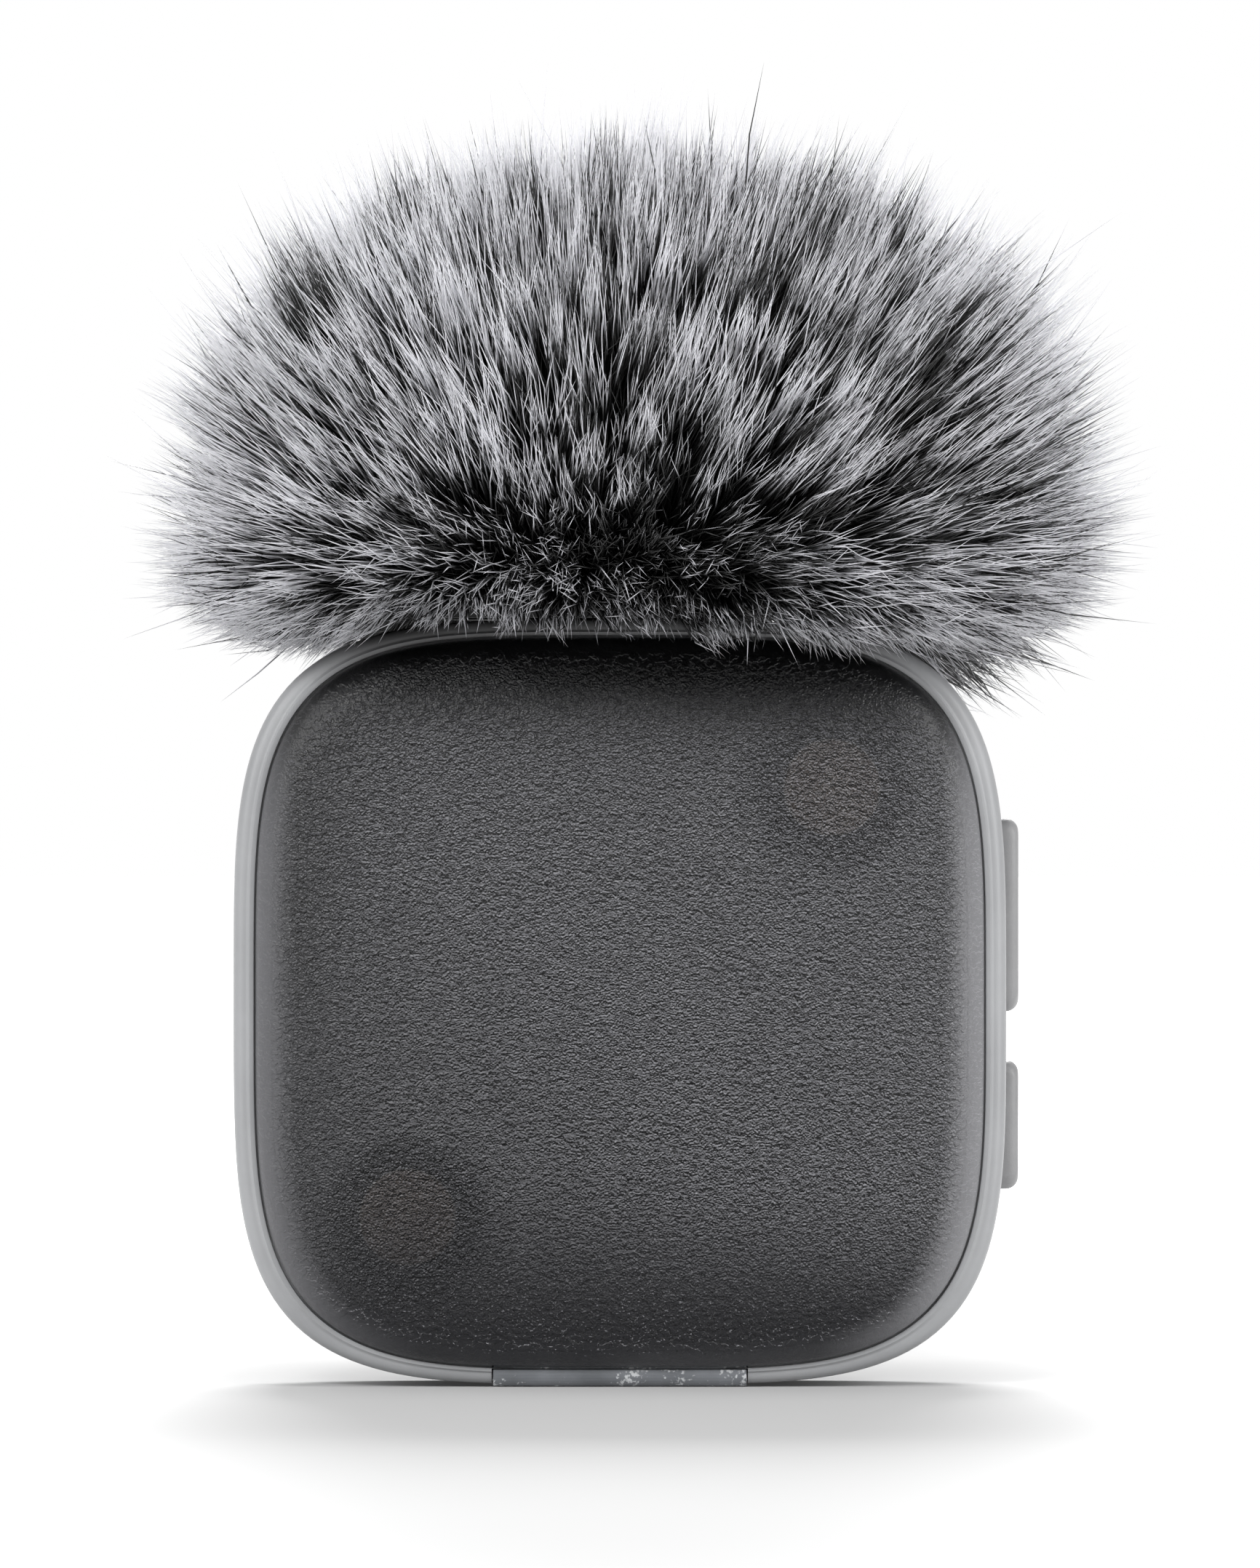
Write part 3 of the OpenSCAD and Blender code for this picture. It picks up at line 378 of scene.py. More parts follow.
# painted shade: the crown is painted darker towards its lower left, away from the light
toward = addNode(tree, "VectorMath", {"operation": "DOT_PRODUCT"}, {0: centred, 1: smoked["light"]})
shade = addNode(tree, "MapRange", inputs={
    "Value": toward, **span("From", smoked["shadeSpan"], full), "To Min": smoked["shade"]})
lit = addNode(tree, "Math", {"operation": "MULTIPLY"}, {0: paintedEmboss, 1: shade})
skin = addNode(tree, "Mix", colors, {0: lit, 6: hexColor(smoked["lower"]), 7: hexColor(smoked["upper"])})
# painted shade: the skin darkens and closes up over its upper and lower curve, where the wall is seen edge
# on, and most of all at the top under the fur. Along the rim the painted shade is stronger on the left than
# on the right
sign = addNode(tree, "SeparateXYZ", inputs={0: centred})
upper = addNode(tree, "MapRange", inputs={"Value": sign.outputs[2], "From Min": -mm, "From Max": mm})
right = addNode(tree, "MapRange", inputs={"Value": sign.outputs[0], "From Min": -mm, "From Max": mm})
shadeFrom = addNode(tree, "MapRange", inputs={"Value": upper, **span("To", smoked["shadeFrom"], full)})
curve = addNode(tree, "MapRange", smooth, {
    "Value": reach.outputs[2], "From Min": shadeFrom, "From Max": smoked["shadeTo"] * full})
rimShade = addNode(tree, "MapRange", inputs={"Value": right, **span("To", smoked["rimShade"])})
aroundRim = addNode(tree, "MapRange", smooth, {
    "Value": rim, **span("From", smoked["rimSpan"], full), "To Max": rimShade})
paintedEdgeShade = addNode(tree, "Math", {"operation": "MAXIMUM"}, {0: curve, 1: aroundRim})
dark = addNode(tree, "Mix", colors, {
    0: upper, 6: hexColor(smoked["dark"][0]), 7: hexColor(smoked["dark"][1])})
shaded = addNode(tree, "Mix", colors, {0: paintedEdgeShade, 6: skin, 7: dark})
# painted glints: a few high crests are painted light where the skin lies in painted shade
glint = addNode(tree, "Math", {"operation": "MULTIPLY"}, {0: paintedEmboss, 1: pitted})
glint = addNode(tree, "MapRange", inputs={
    "Value": glint, **span("From", smoked["glintSpan"]), "To Max": smoked["glint"]})
glint = addNode(tree, "Math", {"operation": "MULTIPLY"}, {0: paintedEdgeShade, 1: glint})
shaded = addNode(tree, "Mix", colors, {0: glint, 6: shaded, 7: hexColor(smoked["upper"])})
# painted light along both sides, strongest on the right, where the pale frame also shows through the thin
# rim. It follows the rim round the two lower corners, and is faint along the bottom
nearRim = addNode(tree, "Mix", inputs={0: upper, 2: rim, 3: reach.outputs[0]})
glowing = addNode(tree, "MapRange", inputs={
    "Value": reach.outputs[0], **span("From", smoked["glowSpan"], full), "To Min": smoked["glowLeast"]})
glowFrom = addNode(tree, "MapRange", inputs={
    "Value": reach.outputs[0], **span("From", smoked["cornerSpan"], full),
    **span("To", smoked["glowFrom"], full)})
side = addNode(tree, "MapRange", smooth, {
    "Value": nearRim, "From Min": glowFrom, "From Max": full, "To Max": glowing})
glowTone = addNode(tree, "Mix", colors, {
    0: right, 6: hexColor(smoked["glow"][0]), 7: hexColor(smoked["glow"][1])})
edged = addNode(tree, "Mix", colors, {0: side, 6: shaded, 7: glowTone})
# lips in painted shade are also shut more, so less of the pale tray shows through them
thinness = addNode(tree, "MapRange", inputs={
    "Value": lean, "From Min": -smoked["steep"], "From Max": 0.0, **span("To", smoked["alpha"])})
shut = addNode(tree, "MapRange", inputs={"Value": upper, **span("To", smoked["darkAlpha"])})
closed = addNode(tree, "Mix", inputs={0: paintedEdgeShade, 2: thinness, 3: shut})
feed(shader, {"Alpha": closed, "Base Color": edged, "Normal": relief})
# the polished inner face of the same moulding, which takes away little light
polished = {"tone": "#1c1c1e", "roughness": 0.2, "alpha": 0.06, "sinkSize": 2.5, "sinkDepth": 0.01}
smokedInner, tree, shader = startMaterial("polishedPolycarbonate", {
    "Base Color": hexColor(polished["tone"]), "Roughness": polished["roughness"], "IOR": smoked["ior"],
    "Alpha": polished["alpha"]})
sink = addNode(tree, "TexNoise", inputs={
    "Vector": addNode(tree, "TexCoord").outputs["Object"], "Scale": 1 / (polished["sinkSize"] * mm)})
relief = addNode(tree, "Bump", inputs={"Height": sink, "Distance": polished["sinkDepth"] * mm})
feed(shader, {"Normal": relief})

# In each surfaceFinish: two tones, the size of their drift, the grain's size and depth in mm,
# and the span of the roughness. A real tooth or plating grain is finer than 0.05 mm, and is
# drawn as coarse as it needs to show

# Frosted polycarbonate, moulded and bead blasted: milky pale grey, soft and even. It darkens at its top,
# and most on the left: painted shade under the fur, where the black port and its boot also show through
frosted = {"tones": ("#939496", "#9d9ea0"), "top": "#343332", "topSpan": (23.4, 25.8),
           "sides": (-9, 9), "topShadeStrength": (0.86, 0.4)}
frostedFrame = surfaceFinish("frostedPolycarbonate", {"IOR": 1.585}, frosted["tones"], 4.0, 0.05, 0.004,
                             (0.38, 0.5))
tree = frostedFrame.node_tree
# painted shade at the top of the frame, stronger on the left
high = addNode(tree, "SeparateXYZ", inputs={0: addNode(tree, "TexCoord").outputs["Object"]})
across = addNode(tree, "MapRange", inputs={
    "Value": high.outputs[0], **span("From", frosted["sides"], mm), **span("To", frosted["topShadeStrength"])})
high = addNode(tree, "MapRange", smooth, {
    "Value": high.outputs[2], **span("From", frosted["topSpan"], mm), "To Max": across})
tintBy(frostedFrame, high, frosted["top"])
# Bead-blasted ABS, moulded: pale grey, the layer that gives the smoked cover its body, with a
# black sleeve round each magnet cup
tray = {"tones": ("#a5a5a8", "#b0b0b3"), "cup": "#0d0d0e", "cupAt": (7.2, 7.3), "cupRadius": (2.3, 3.0)}
trayAbs = surfaceFinish("mouldedTray", {"IOR": 1.54}, tray["tones"], 4.0, 0.08, 0.006, (0.5, 0.62))
tree = trayAbs.node_tree
place = addNode(tree, "TexCoord").outputs["Object"]
inPlane = addNode(tree, "Mapping", inputs={
    "Vector": place, "Scale": (1, 0, 1), "Location": (0, 0, -bodyHeight * mm)})
cups = []
for side in (-1, 1):
    cupMiddle = (side * tray["cupAt"][0] * mm, 0, side * tray["cupAt"][1] * mm)
    cups.append(addNode(tree, "VectorMath", {"operation": "DISTANCE"}, {0: inPlane, 1: cupMiddle}))
nearest = addNode(tree, "Math", {"operation": "MINIMUM"}, {0: cups[0], 1: cups[1]})
sleeve = addNode(tree, "MapRange", smooth, {
    "Value": nearest, **span("From", tray["cupRadius"], mm), "To Min": 1.0, "To Max": 0.0})
tintBy(trayAbs, sleeve, tray["cup"])
# Spark-eroded ABS, dyed through: mid grey, with a fine even tooth
greyAbs = surfaceFinish("sparkErodedAbs", {"IOR": 1.54}, ("#8b8b8c", "#959596"), 1.2, 0.06, 0.006,
                        (0.4, 0.52))
# Moulded black ABS: soft sheen with a fine pebble
blackAbs = surfaceFinish("pebbledBlackAbs", {"IOR": 1.54}, ("#232325", "#29292b"), 5.0, 0.12, 0.012,
                         (0.42, 0.55))
plainFinishes = [
    # glass-filled nylon, moulded: dark and dry, with faint streaks where the fibres lie
    ("glassFilledNylon", {"IOR": 1.53}, ("#1d1d1f", "#27272a"), 2.2, 0.09, 0.01, (0.48, 0.64),
     (1, 1, 0.35)),
    # neodymium magnet, nickel plated: bright, faintly warm and slightly blurred
    ("nickelPlatedMagnet", {"Metallic": 1.0}, ("#b9b3a8", "#c9c4ba"), 0.8, 0.05, 0.002, (0.22, 0.34)),
    # sheet steel, stamped and zinc plated: brownish grey that the smoked skin lets through
    ("zincPlatedSteel", {"Metallic": 1.0}, ("#857469", "#95867b"), 0.9, 0.05, 0.003, (0.34, 0.46)),
    # silicone rubber, moulded: near black and matt
    ("mouldedSilicone", {"IOR": 1.41}, ("#151516", "#1c1c1d"), 1.5, 0.05, 0.004, (0.5, 0.62)),
    # glass epoxy board under solder mask: deep green with a wet gloss
    ("solderMaskedBoard", {"IOR": 1.55}, ("#0f2c1f", "#17382a"), 1.6, 0.1, 0.004, (0.28, 0.4)),
    # sheet steel, tin plated and folded: the palest metal, a little cloudy
    ("tinPlatedSteel", {"Metallic": 1.0}, ("#c4c5c6", "#d3d4d5"), 2.0, 0.08, 0.003, (0.26, 0.38)),
    # epoxy compound, moulded round the chips: dull charcoal
    ("epoxyMouldCompound", {"IOR": 1.55}, ("#17181a", "#1f2022"), 0.6, 0.04, 0.003, (0.5, 0.6)),
    # stainless steel, turned: bright, with fine marks that run one way
    ("turnedStainless", {"Metallic": 1.0}, ("#bfbfc1", "#cfcfd1"), 1.2, 0.04, 0.002, (0.2, 0.32),
     (0.2, 1, 1)),
    # spring steel, drawn: greyer than the turned pieces
    ("drawnSpringSteel", {"Metallic": 1.0}, ("#9d9ea1", "#b4b5b8"), 0.7, 0.03, 0.002, (0.24, 0.36)),
    # aluminium foil, laminated: silver with a soft crinkle
    ("laminatedFoil", {"Metallic": 0.8}, ("#b5b7bb", "#c4c6ca"), 3.0, 0.4, 0.02, (0.34, 0.46)),
    # acrylic foam tape, coated: cream and flat
    ("acrylicFoamTape", {"IOR": 1.47}, ("#e4e0d2", "#ece8dc"), 1.2, 0.08, 0.01, (0.7, 0.8)),
    # polyimide film, laminated over copper: amber brown gloss
    ("polyimideOverCopper", {"IOR": 1.5}, ("#a8641f", "#bf7a2e"), 0.9, 0.06, 0.003, (0.26, 0.38)),
    # clear resin, moulded over a status light: milky and glossy
    ("mouldedLedLens", {"IOR": 1.5}, ("#f0eedd", "#f6f4e8"), 0.4, 0.04, 0.002, (0.2, 0.3)),
    # liquid crystal polymer, moulded: ivory with a dry sheen
    ("mouldedLcp", {"IOR": 1.6}, ("#d4d1c6", "#dfdcd2"), 0.7, 0.04, 0.003, (0.45, 0.55)),
    # brass, gold plated: deep yellow and nearly mirror bright
    ("goldPlatedBrass", {"Metallic": 1.0}, ("#d9a94c", "#e8c06a"), 0.5, 0.03, 0.001, (0.16, 0.26)),
    # ABS, moulded in a satin tool: charcoal with an even sheen
    ("satinBlackAbs", {"IOR": 1.54}, ("#2b2b2d", "#323234"), 1.5, 0.06, 0.004, (0.36, 0.46)),
    # brass can, drawn and nickelled: warm silver
    ("nickelledCapsule", {"Metallic": 1.0}, ("#c6bfae", "#d4cebf"), 0.8, 0.05, 0.002, (0.24, 0.34)),
    # thermoplastic elastomer, moulded: flat dark grey with a grippy tooth
    ("mouldedElastomer", {"IOR": 1.5}, ("#2a2a2b", "#343435"), 1.0, 0.06, 0.008, (0.6, 0.72)),
    # nylon, moulded: near black with a low sheen
    ("mouldedNylon", {"IOR": 1.53}, ("#1b1b1c", "#242425"), 1.5, 0.06, 0.005, (0.45, 0.56)),
    # polyurethane foam, with open cells: rough charcoal that takes up all shine
    ("openCellFoam", {"IOR": 1.45}, ("#1a1a1b", "#2d2d2f"), 0.3, 0.35, 0.12, (0.85, 0.95)),
    # elastic band, knitted: black ribs with a faint bloom
    ("knittedElastic", {"IOR": 1.5, "Sheen Weight": 0.3}, ("#0e0e0f", "#19191a"), 0.4, 0.22, 0.05,
     (0.8, 0.9), (1, 1, 0.45)),
    # polyester, knitted: black and flat, with loops of yarn
    ("knittedPolyester", {"IOR": 1.5, "Sheen Weight": 0.2}, ("#080809", "#101011"), 0.5, 0.3, 0.08,
     (0.85, 0.95)),
]
finishes = {row[0]: surfaceFinish(*row) for row in plainFinishes}

# Stainless steel, woven: a grey mesh of round wires 0.1 mm thick that glints in points
weave = {"tone": "#b9babd", "roughness": 0.34, "pitch": 0.2, "relief": 0.05}
waveLength = 0.314     # of the wave texture at scale 1
meshSteel, tree, shader = startMaterial("wovenStainless", {
    "Base Color": hexColor(weave["tone"]), "Metallic": 1.0, "Roughness": weave["roughness"]})
place = addNode(tree, "TexCoord").outputs["Object"]
wires = []
for direction in ("X", "Y"):
    wires.append(addNode(tree, "TexWave", {"bands_direction": direction},
                         {"Vector": place, "Scale": waveLength / (weave["pitch"] * mm)}).outputs[1])
woven = addNode(tree, "Math", {"operation": "MAXIMUM"}, {0: wires[0], 1: wires[1]})
relief = addNode(tree, "Bump", inputs={"Height": woven, "Distance": weave["relief"] * mm})
feed(shader, {"Normal": relief})

# Tinted see-through polycarbonate in the base: blue-grey, with clusters of pale flecks in it
window = {"tones": ("#64676b", "#7d8085"), "cloud": 2.2, "cloudSpan": (0.38, 0.62),
          "fleck": "#c9cbcd", "fleckSize": 0.16, "cluster": 1.6, "fleckSpan": (0.31, 0.37), "relief": 0.01}
baseWindow, tree, shader = startMaterial("tintedPolycarbonate", {"IOR": 1.585, "Roughness": 0.3})
place = addNode(tree, "TexCoord").outputs["Object"]
cloud = addNode(tree, "TexNoise", inputs={
    "Vector": place, "Scale": 1 / (window["cloud"] * mm), "Detail": 3.0})
tone = addNode(tree, "MapRange", inputs={"Value": cloud, **span("From", window["cloudSpan"])})
body = addNode(tree, "Mix", colors, {
    0: tone, 6: hexColor(window["tones"][0]), 7: hexColor(window["tones"][1])})
flecks = addNode(tree, "TexNoise", inputs={
    "Vector": place, "Scale": 1 / (window["fleckSize"] * mm), "Detail": 2.0})
clusters = addNode(tree, "TexNoise", inputs={
    "Vector": place, "Scale": 1 / (window["cluster"] * mm), "Detail": 1.0})
both = addNode(tree, "Math", {"operation": "MULTIPLY"}, {0: flecks, 1: clusters})
bright = addNode(tree, "MapRange", inputs={"Value": both, **span("From", window["fleckSpan"])})
mixed = addNode(tree, "Mix", colors, {0: bright, 6: body, 7: hexColor(window["fleck"])})
relief = addNode(tree, "Bump", inputs={"Height": flecks, "Distance": window["relief"] * mm})
feed(shader, {"Base Color": mixed, "Normal": relief})

for material in (smokedCover, frostedFrame, trayAbs, greyAbs, blackAbs, meshSteel, baseWindow):
    finishes[material.name] = material
nodeFinish = {
    "mid_frame": "frostedPolycarbonate", "front_tray": "mouldedTray", "cover_magnets": "nickelPlatedMagnet",
    "front_cover": "smokedPolycarbonate", "cover_discs": "zincPlatedSteel",
    "back_cover": "pebbledBlackAbs", "rear_magnets": "nickelPlatedMagnet",
    "frame_gasket": "mouldedSilicone", "main_board": "solderMaskedBoard", "shield_can": "tinPlatedSteel",
    "board_chips": "epoxyMouldCompound", "board_screws": "turnedStainless", "battery": "laminatedFoil",
    "battery_tape": "acrylicFoamTape", "antenna": "polyimideOverCopper", "status_led": "mouldedLedLens",
    "link_switch": "mouldedLcp", "power_switch": "mouldedLcp", "link_button": "sparkErodedAbs",
    "power_button": "sparkErodedAbs", "button_seals": "mouldedSilicone",
    "contact_carrier": "tintedPolycarbonate", "contact_pads": "goldPlatedBrass",
    "contact_springs": "goldPlatedBrass", "port_bezel": "satinBlackAbs", "port_mesh": "wovenStainless",
    "mic_capsule": "nickelledCapsule", "capsule_boot": "mouldedSilicone", "mic_flex": "polyimideOverCopper",
    "swivel_rivet": "turnedStainless", "swivel_washer": "turnedStainless",
    "swivel_plate": "glassFilledNylon", "clip_pin": "turnedStainless", "clip_spring": "drawnSpringSteel",
    "clip_pad": "mouldedElastomer", "clip_lever": "glassFilledNylon", "windscreen_base": "mouldedNylon",
    "windscreen_foam": "openCellFoam", "windscreen_band": "knittedElastic",
    "windscreen_backing": "knittedPolyester", "windscreen_fur": "knittedPolyester",
}
for name, node in nodes.items():
    node.data.materials.clear()
    node.data.materials.append(finishes[nodeFinish[name]])
print("materials made")

# Rounded edges on the moulded pieces that keep their own mesh, in mm
edgeRounding = {"swivel_plate": 0.18, "clip_lever": 0.2, "contact_carrier": 0.06, "clip_pad": 0.06,
                "port_bezel": 0.06, "swivel_rivet": 0.08, "clip_pin": 0.06}
for name, width in edgeRounding.items():
    weld = nodes[name].modifiers.new("weld", "WELD")
    weld.merge_threshold = 0.002 * mm
    bevel = nodes[name].modifiers.new("rounding", "BEVEL")
    bevel.width = width * mm
    bevel.segments = 3
    bevel.limit_method = "ANGLE"
    bevel.angle_limit = math.radians(40)

# Smoked front cover: crowned outside, with the same crown inside its wall, and a hair wider than
# the solid so that its gap stays fine
cover = {"crown": 1.9, "flatness": 3.2, "wall": 1.05, "wider": 0.04}
crownAngles = np.radians(np.linspace(2, 90, 30))     # from near the middle to the edge


def crownRings(half, edge, rise, flatness):
    rings = []
    for angle in crownAngles:
        share = math.sin(angle) ** (2 / flatness)
        rings.append(outlineRing((half[0] * share, half[1] * share), edge - rise * math.cos(angle)))
    return rings


def crownedShell(shape, half, edge, openY, way):
    # outer crown and skirt, then the open side and the crown inside; way is 1 for a crown that
    # faces forward and -1 for one that faces back
    inner = (half[0] - shape["wall"], half[1] - shape["wall"])
    outside = crownRings(half, edge, way * shape["crown"], shape["flatness"])
    outside += [outlineRing(half, y) for y in np.linspace(edge, openY, 4)[1:]]
    inside = [outlineRing(inner, openY)]
    inside += crownRings(inner, edge, way * (shape["crown"] - shape["wall"]), shape["flatness"])[::-1]
    return outside, inside


low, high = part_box("front_cover")
coverHalf = (high.x / mm + cover["wider"], (high.z - low.z) / 2 / mm + cover["wider"])
outside, inside = crownedShell(cover, coverHalf, low.y / mm + cover["crown"], high.y / mm, 1)
coverPiece = meshPiece("smokedCover", [loft(outside + inside, flip=True)], smokedCover)
coverPiece.data.materials.append(smokedInner)
innerFrom = (len(outside) - 1) * outlineCount
for face in coverPiece.data.polygons:
    if min(face.vertices) >= innerFrom:
        face.material_index = 1
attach(coverPiece, "cover")
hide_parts("front_cover")

# Frosted mid frame: rounded outer band, a small step, then the lip round the cover
ring = {
    "outer": (13.13, 13.0), "seat": (12.42, 12.45), "cavity": (11.85, 11.88), "rib": (11.30, 11.33),
    "front": -3.4, "back": 3.4, "seatDepth": 0.5, "ribY": (-2.1, -1.3), "sideY": (-2.4, 2.6),
    # the lip: share of the way from the seat to the outer face, and how far behind the front
    "lip": [(0, 0.05), (0.02, 0.015), (0.07, 0), (0.23, 0), (0.26, 0.02), (0.33, 0.085)],
    "stepDepth": 0.1, "bandDepth": 0.62, "roundness": 2.3, "backShare": 0.1, "backLip": 0.04, "steps": 12,
}


def bandRing(share, y):
    half = [ring["seat"][k] + share * (ring["outer"][k] - ring["seat"][k]) for k in (0, 1)]
    return outlineRing(half, y)


def bandDrop(step):
    # how far the band has rounded off, from 0 at its inner edge to 1 at its outer face
    across = step / ring["steps"]
    return 1 - (1 - across ** ring["roundness"]) ** (1 / ring["roundness"])


seatFront = ring["front"] + ring["seatDepth"]
seatBack = ring["back"] - ring["seatDepth"]
stepShare = ring["lip"][-1][0]
section = [outlineRing(ring["cavity"], seatFront), outlineRing(ring["seat"], seatFront)]
section += [bandRing(share, ring["front"] + depth) for share, depth in ring["lip"]]
for k in range(1, ring["steps"] + 1):
    drop = ring["stepDepth"] + (ring["bandDepth"] - ring["stepDepth"]) * bandDrop(k)
    section.append(bandRing(stepShare + (1 - stepShare) * k / ring["steps"], ring["front"] + drop))
section += [outlineRing(ring["outer"], y) for y in np.linspace(*ring["sideY"], 7)]
for k in range(ring["steps"] - 1, -1, -1):
    section.append(bandRing(ring["backShare"] + (1 - ring["backShare"]) * k / ring["steps"],
                            ring["back"] - ring["bandDepth"] * bandDrop(k)))
for part, y in (("seat", ring["back"] - ring["backLip"]), ("seat", seatBack), ("cavity", seatBack),
                ("cavity", ring["ribY"][1]), ("rib", ring["ribY"][1]), ("rib", ring["ribY"][0]),
                ("cavity", ring["ribY"][0])):
    section.append(outlineRing(ring[part], y))
framePiece = meshPiece("frostedFrame", [loft(section, closed=True)], frostedFrame)

# Buttons: soft ends, with the flange and stem of the real moulding behind the wall. Their caps
# also give the size of the frame's slots
button = {
    "fillet": 0.42, "sideFillet": 0.24, "corner": 0.5, "tighter": 0.2, "steps": 8, "straightTo": 12.4,
    "flange": 0.22, "flangeX": (11.07, 11.57), "capFrom": 11.55, "stemX": (10.72, 11.09),
    "stemY": (-0.2, 0.6), "stemZ": 0.6,
    "bodies": {"link_button": ("linkCap", "link_key"), "power_button": ("powerCap", "power_key")},
}


def capOf(node):
    # half width and half length of a button's cap, its middle and its top, from its flanged solid
    low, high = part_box(node)
    return ((high.y - low.y) / 2 / mm - button["flange"], (high.z - low.z) / 2 / mm - 2 * button["flange"],
            (high.z + low.z) / 2 / mm - bodyHeight, high.x / mm)


# What is cut out of the frame, in mm
openings = {
    "slot": ((0.08, 0.08), (10.9, 14)),         # room round a cap in y and z, and from where to where
    "flangeSeat": ((0.27, 0.49), (10.6, 11.85)),
    "insert": [((-4.35, -4.4, -14), (4.35, -2.88, -12.43)), ((-4.35, -2.9, -14), (4.35, 2.45, -10.88))],
    "port": [(2.55, 12.45, 14), (2.25, 10.9, 13)],      # radius, and from where to where
}
cutters = []
for node in button["bodies"]:
    halfY, halfZ, middle = capOf(node)[:3]
    for room, ends in (openings["slot"], openings["flangeSeat"]):
        rings = [pillRing(x, halfY + room[0], halfZ + room[1], button["corner"]) for x in ends]
        cutters.append(loft([r + (0, 0, middle) for r in rings]))
cutters += [boxShell(low, high) for low, high in openings["insert"]]
cutters += [tubeShell("z", (0, portY), *bore) for bore in openings["port"]]
for shell in cutters:
    cutAway(framePiece, shell)
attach(framePiece, "housing")
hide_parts("mid_frame")
print("cover and frame made,", len(framePiece.data.polygons), "frame faces")

for node, (name, bodyName) in button["bodies"].items():
    halfY, halfZ, middle, top = capOf(node)
    rings = [pillRing(x, halfY, halfZ, button["corner"]) for x in (button["capFrom"], button["straightTo"])]
    for k in range(button["steps"]):
        turn = math.pi / 2 * k / (button["steps"] - 1)
        rings.append(pillRing(top - button["fillet"] * (1 - math.sin(turn)),
                              halfY - button["sideFillet"] * (1 - math.cos(turn)),
                              halfZ - button["fillet"] * (1 - math.cos(turn)),
                              button["corner"] - button["tighter"] * (1 - math.cos(turn))))
    flange = [pillRing(x, halfY + button["flange"], halfZ + 2 * button["flange"], button["corner"])
              for x in button["flangeX"]]
    stem = boxShell((button["stemX"][0], button["stemY"][0], middle - button["stemZ"]),
                    (button["stemX"][1], button["stemY"][1], middle + button["stemZ"]))
    shells = [loft([r + (0, 0, middle) for r in rings]), loft([r + (0, 0, middle) for r in flange]), stem]
    piece = meshPiece(name, shells, greyAbs)
    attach(piece, bodyName)
    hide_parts(node)

# Black back shell: crowned, with a round flat recess that the clip turns on
back = {"crown": 1.6, "wall": 1.2, "flatness": 3.2, "edge": 3.5, "recess": 6.0, "recessY": 4.95,
        "bore": 1.55, "boreY": 2.0, "cutTo": 6.5}
low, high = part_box("back_cover")
outside, inside = crownedShell(back, (high.x / mm, (high.z - low.z) / 2 / mm), back["edge"], low.y / mm, -1)
backPiece = meshPiece("backShell", [loft(outside + inside)], blackAbs)
cutAway(backPiece, tubeShell("y", (0, 0), back["recess"], back["recessY"], back["cutTo"], 96))
cutAway(backPiece, tubeShell("y", (0, 0), back["bore"], back["boreY"], back["cutTo"]))
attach(backPiece, "housing")
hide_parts("back_cover")
print("buttons and back shell made")

# Acrylic faux fur, knitted in and combed up: each fibre is black at its root and pale at its tip,
# so the pile looks frosted at the outline and black where it opens. In OFBake, u is how pale a
# fibre is and v runs along it from root to tip
fur = {
    "seed": 11, "pieces": 12, "steps": 5, "locks": 420, "wisps": 3000, "lowest": -0.52,
    # outline of the dressed fur in mm, and of the dome that its roots stand on
    "middle": (0.65, portY, 30.8), "half": (17.2, 13.6, 12.9), "power": 2.35, "lowHalf": 6.5,
    "lowPower": 4.0, "rootMiddle": (0, portY, 27.7), "rootHalf": (7.4, 5.5, 5.9), "rootLevel": 0.02,
    "kinds": [
        # pale guard hair, and the shorter black fibres between its roots
        {"fibres": 35000, "lengths": (0.84, 1.03), "width": 0.07, "gather": 0.8, "bend": 0.045,
         "strays": 0.04, "paleness": 1.0},
        {"fibres": 42000, "lengths": (0.55, 0.9), "width": 0.06, "gather": 0.4, "bend": 0.09,
         "strays": 0, "paleness": 0.08},
    ],
    # how locks and wisps differ in lean, in length and in tone
    "lockGather": 0.12, "lockLean": 0.04, "wispLean": 0.035, "tipLean": 0.02, "rootLean": 0.03,
    "lockLength": (0.96, 1.02), "wispLength": (0.9, 1.03), "lockTone": 0.16, "wispTone": 0.3,
    "tone": 0.64, "toneNoise": 0.08, "toneSpan": (0.16, 0.98),
    # how stiff a fibre is at its root and its tip, and how it bends at the bottom and as a stray
    "stiff": (0.34, 0.68), "lowBend": 0.06, "strayBend": 0.09, "lowFrom": 0.5,
    "taper": ((0, 0.7, 1), (1.0, 0.95, 0.3)),
    "clearance": 0.12, "sunkLimit": 0.35, "bodySide": 13.1, "bodyDepth": 6.0,
    # colours, where the dark root ends on the darkest and on the palest fibre, and how far it blends
    "root": "#090909", "tips": ("#b0b0b6", "#ededf2"), "turnsPale": (1.0, 0.5), "darkest": 0.1,
    "blend": 0.14, "through": 0.12,
    "dressing": [
        # a lock that hangs down behind, to the right, painted darker as shade
        {"toward": (0.76, 0.42, -0.5), "spread": 0.22, "longer": 0.27, "paler": -0.55},
        # trimmed clear of the corner, to the left
        {"toward": (-0.55, -0.7, -0.42), "spread": 0.32, "longer": -0.16, "paler": -0.1},
        # in front and a little low, the fibres darker
        {"toward": (0.06, -0.98, -0.12), "spread": 0.42, "longer": 0.0, "paler": -0.5},
        # behind, to the left, painted darker as shade
        {"toward": (-0.6, 0.55, -0.5), "spread": 0.3, "longer": 0.14, "paler": -0.35},
        # a patch high on the right where the fibres are darker
        {"toward": (0.62, -0.6, 0.5), "spread": 0.34, "longer": 0.0, "paler": -0.3},
    ],
}
furMaterial, tree, shader = startMaterial("acrylicFauxFur", {"IOR": 1.49, "Roughness": 0.5})
along = addNode(tree, "UVMap", {"uv_map": "OFBake"})
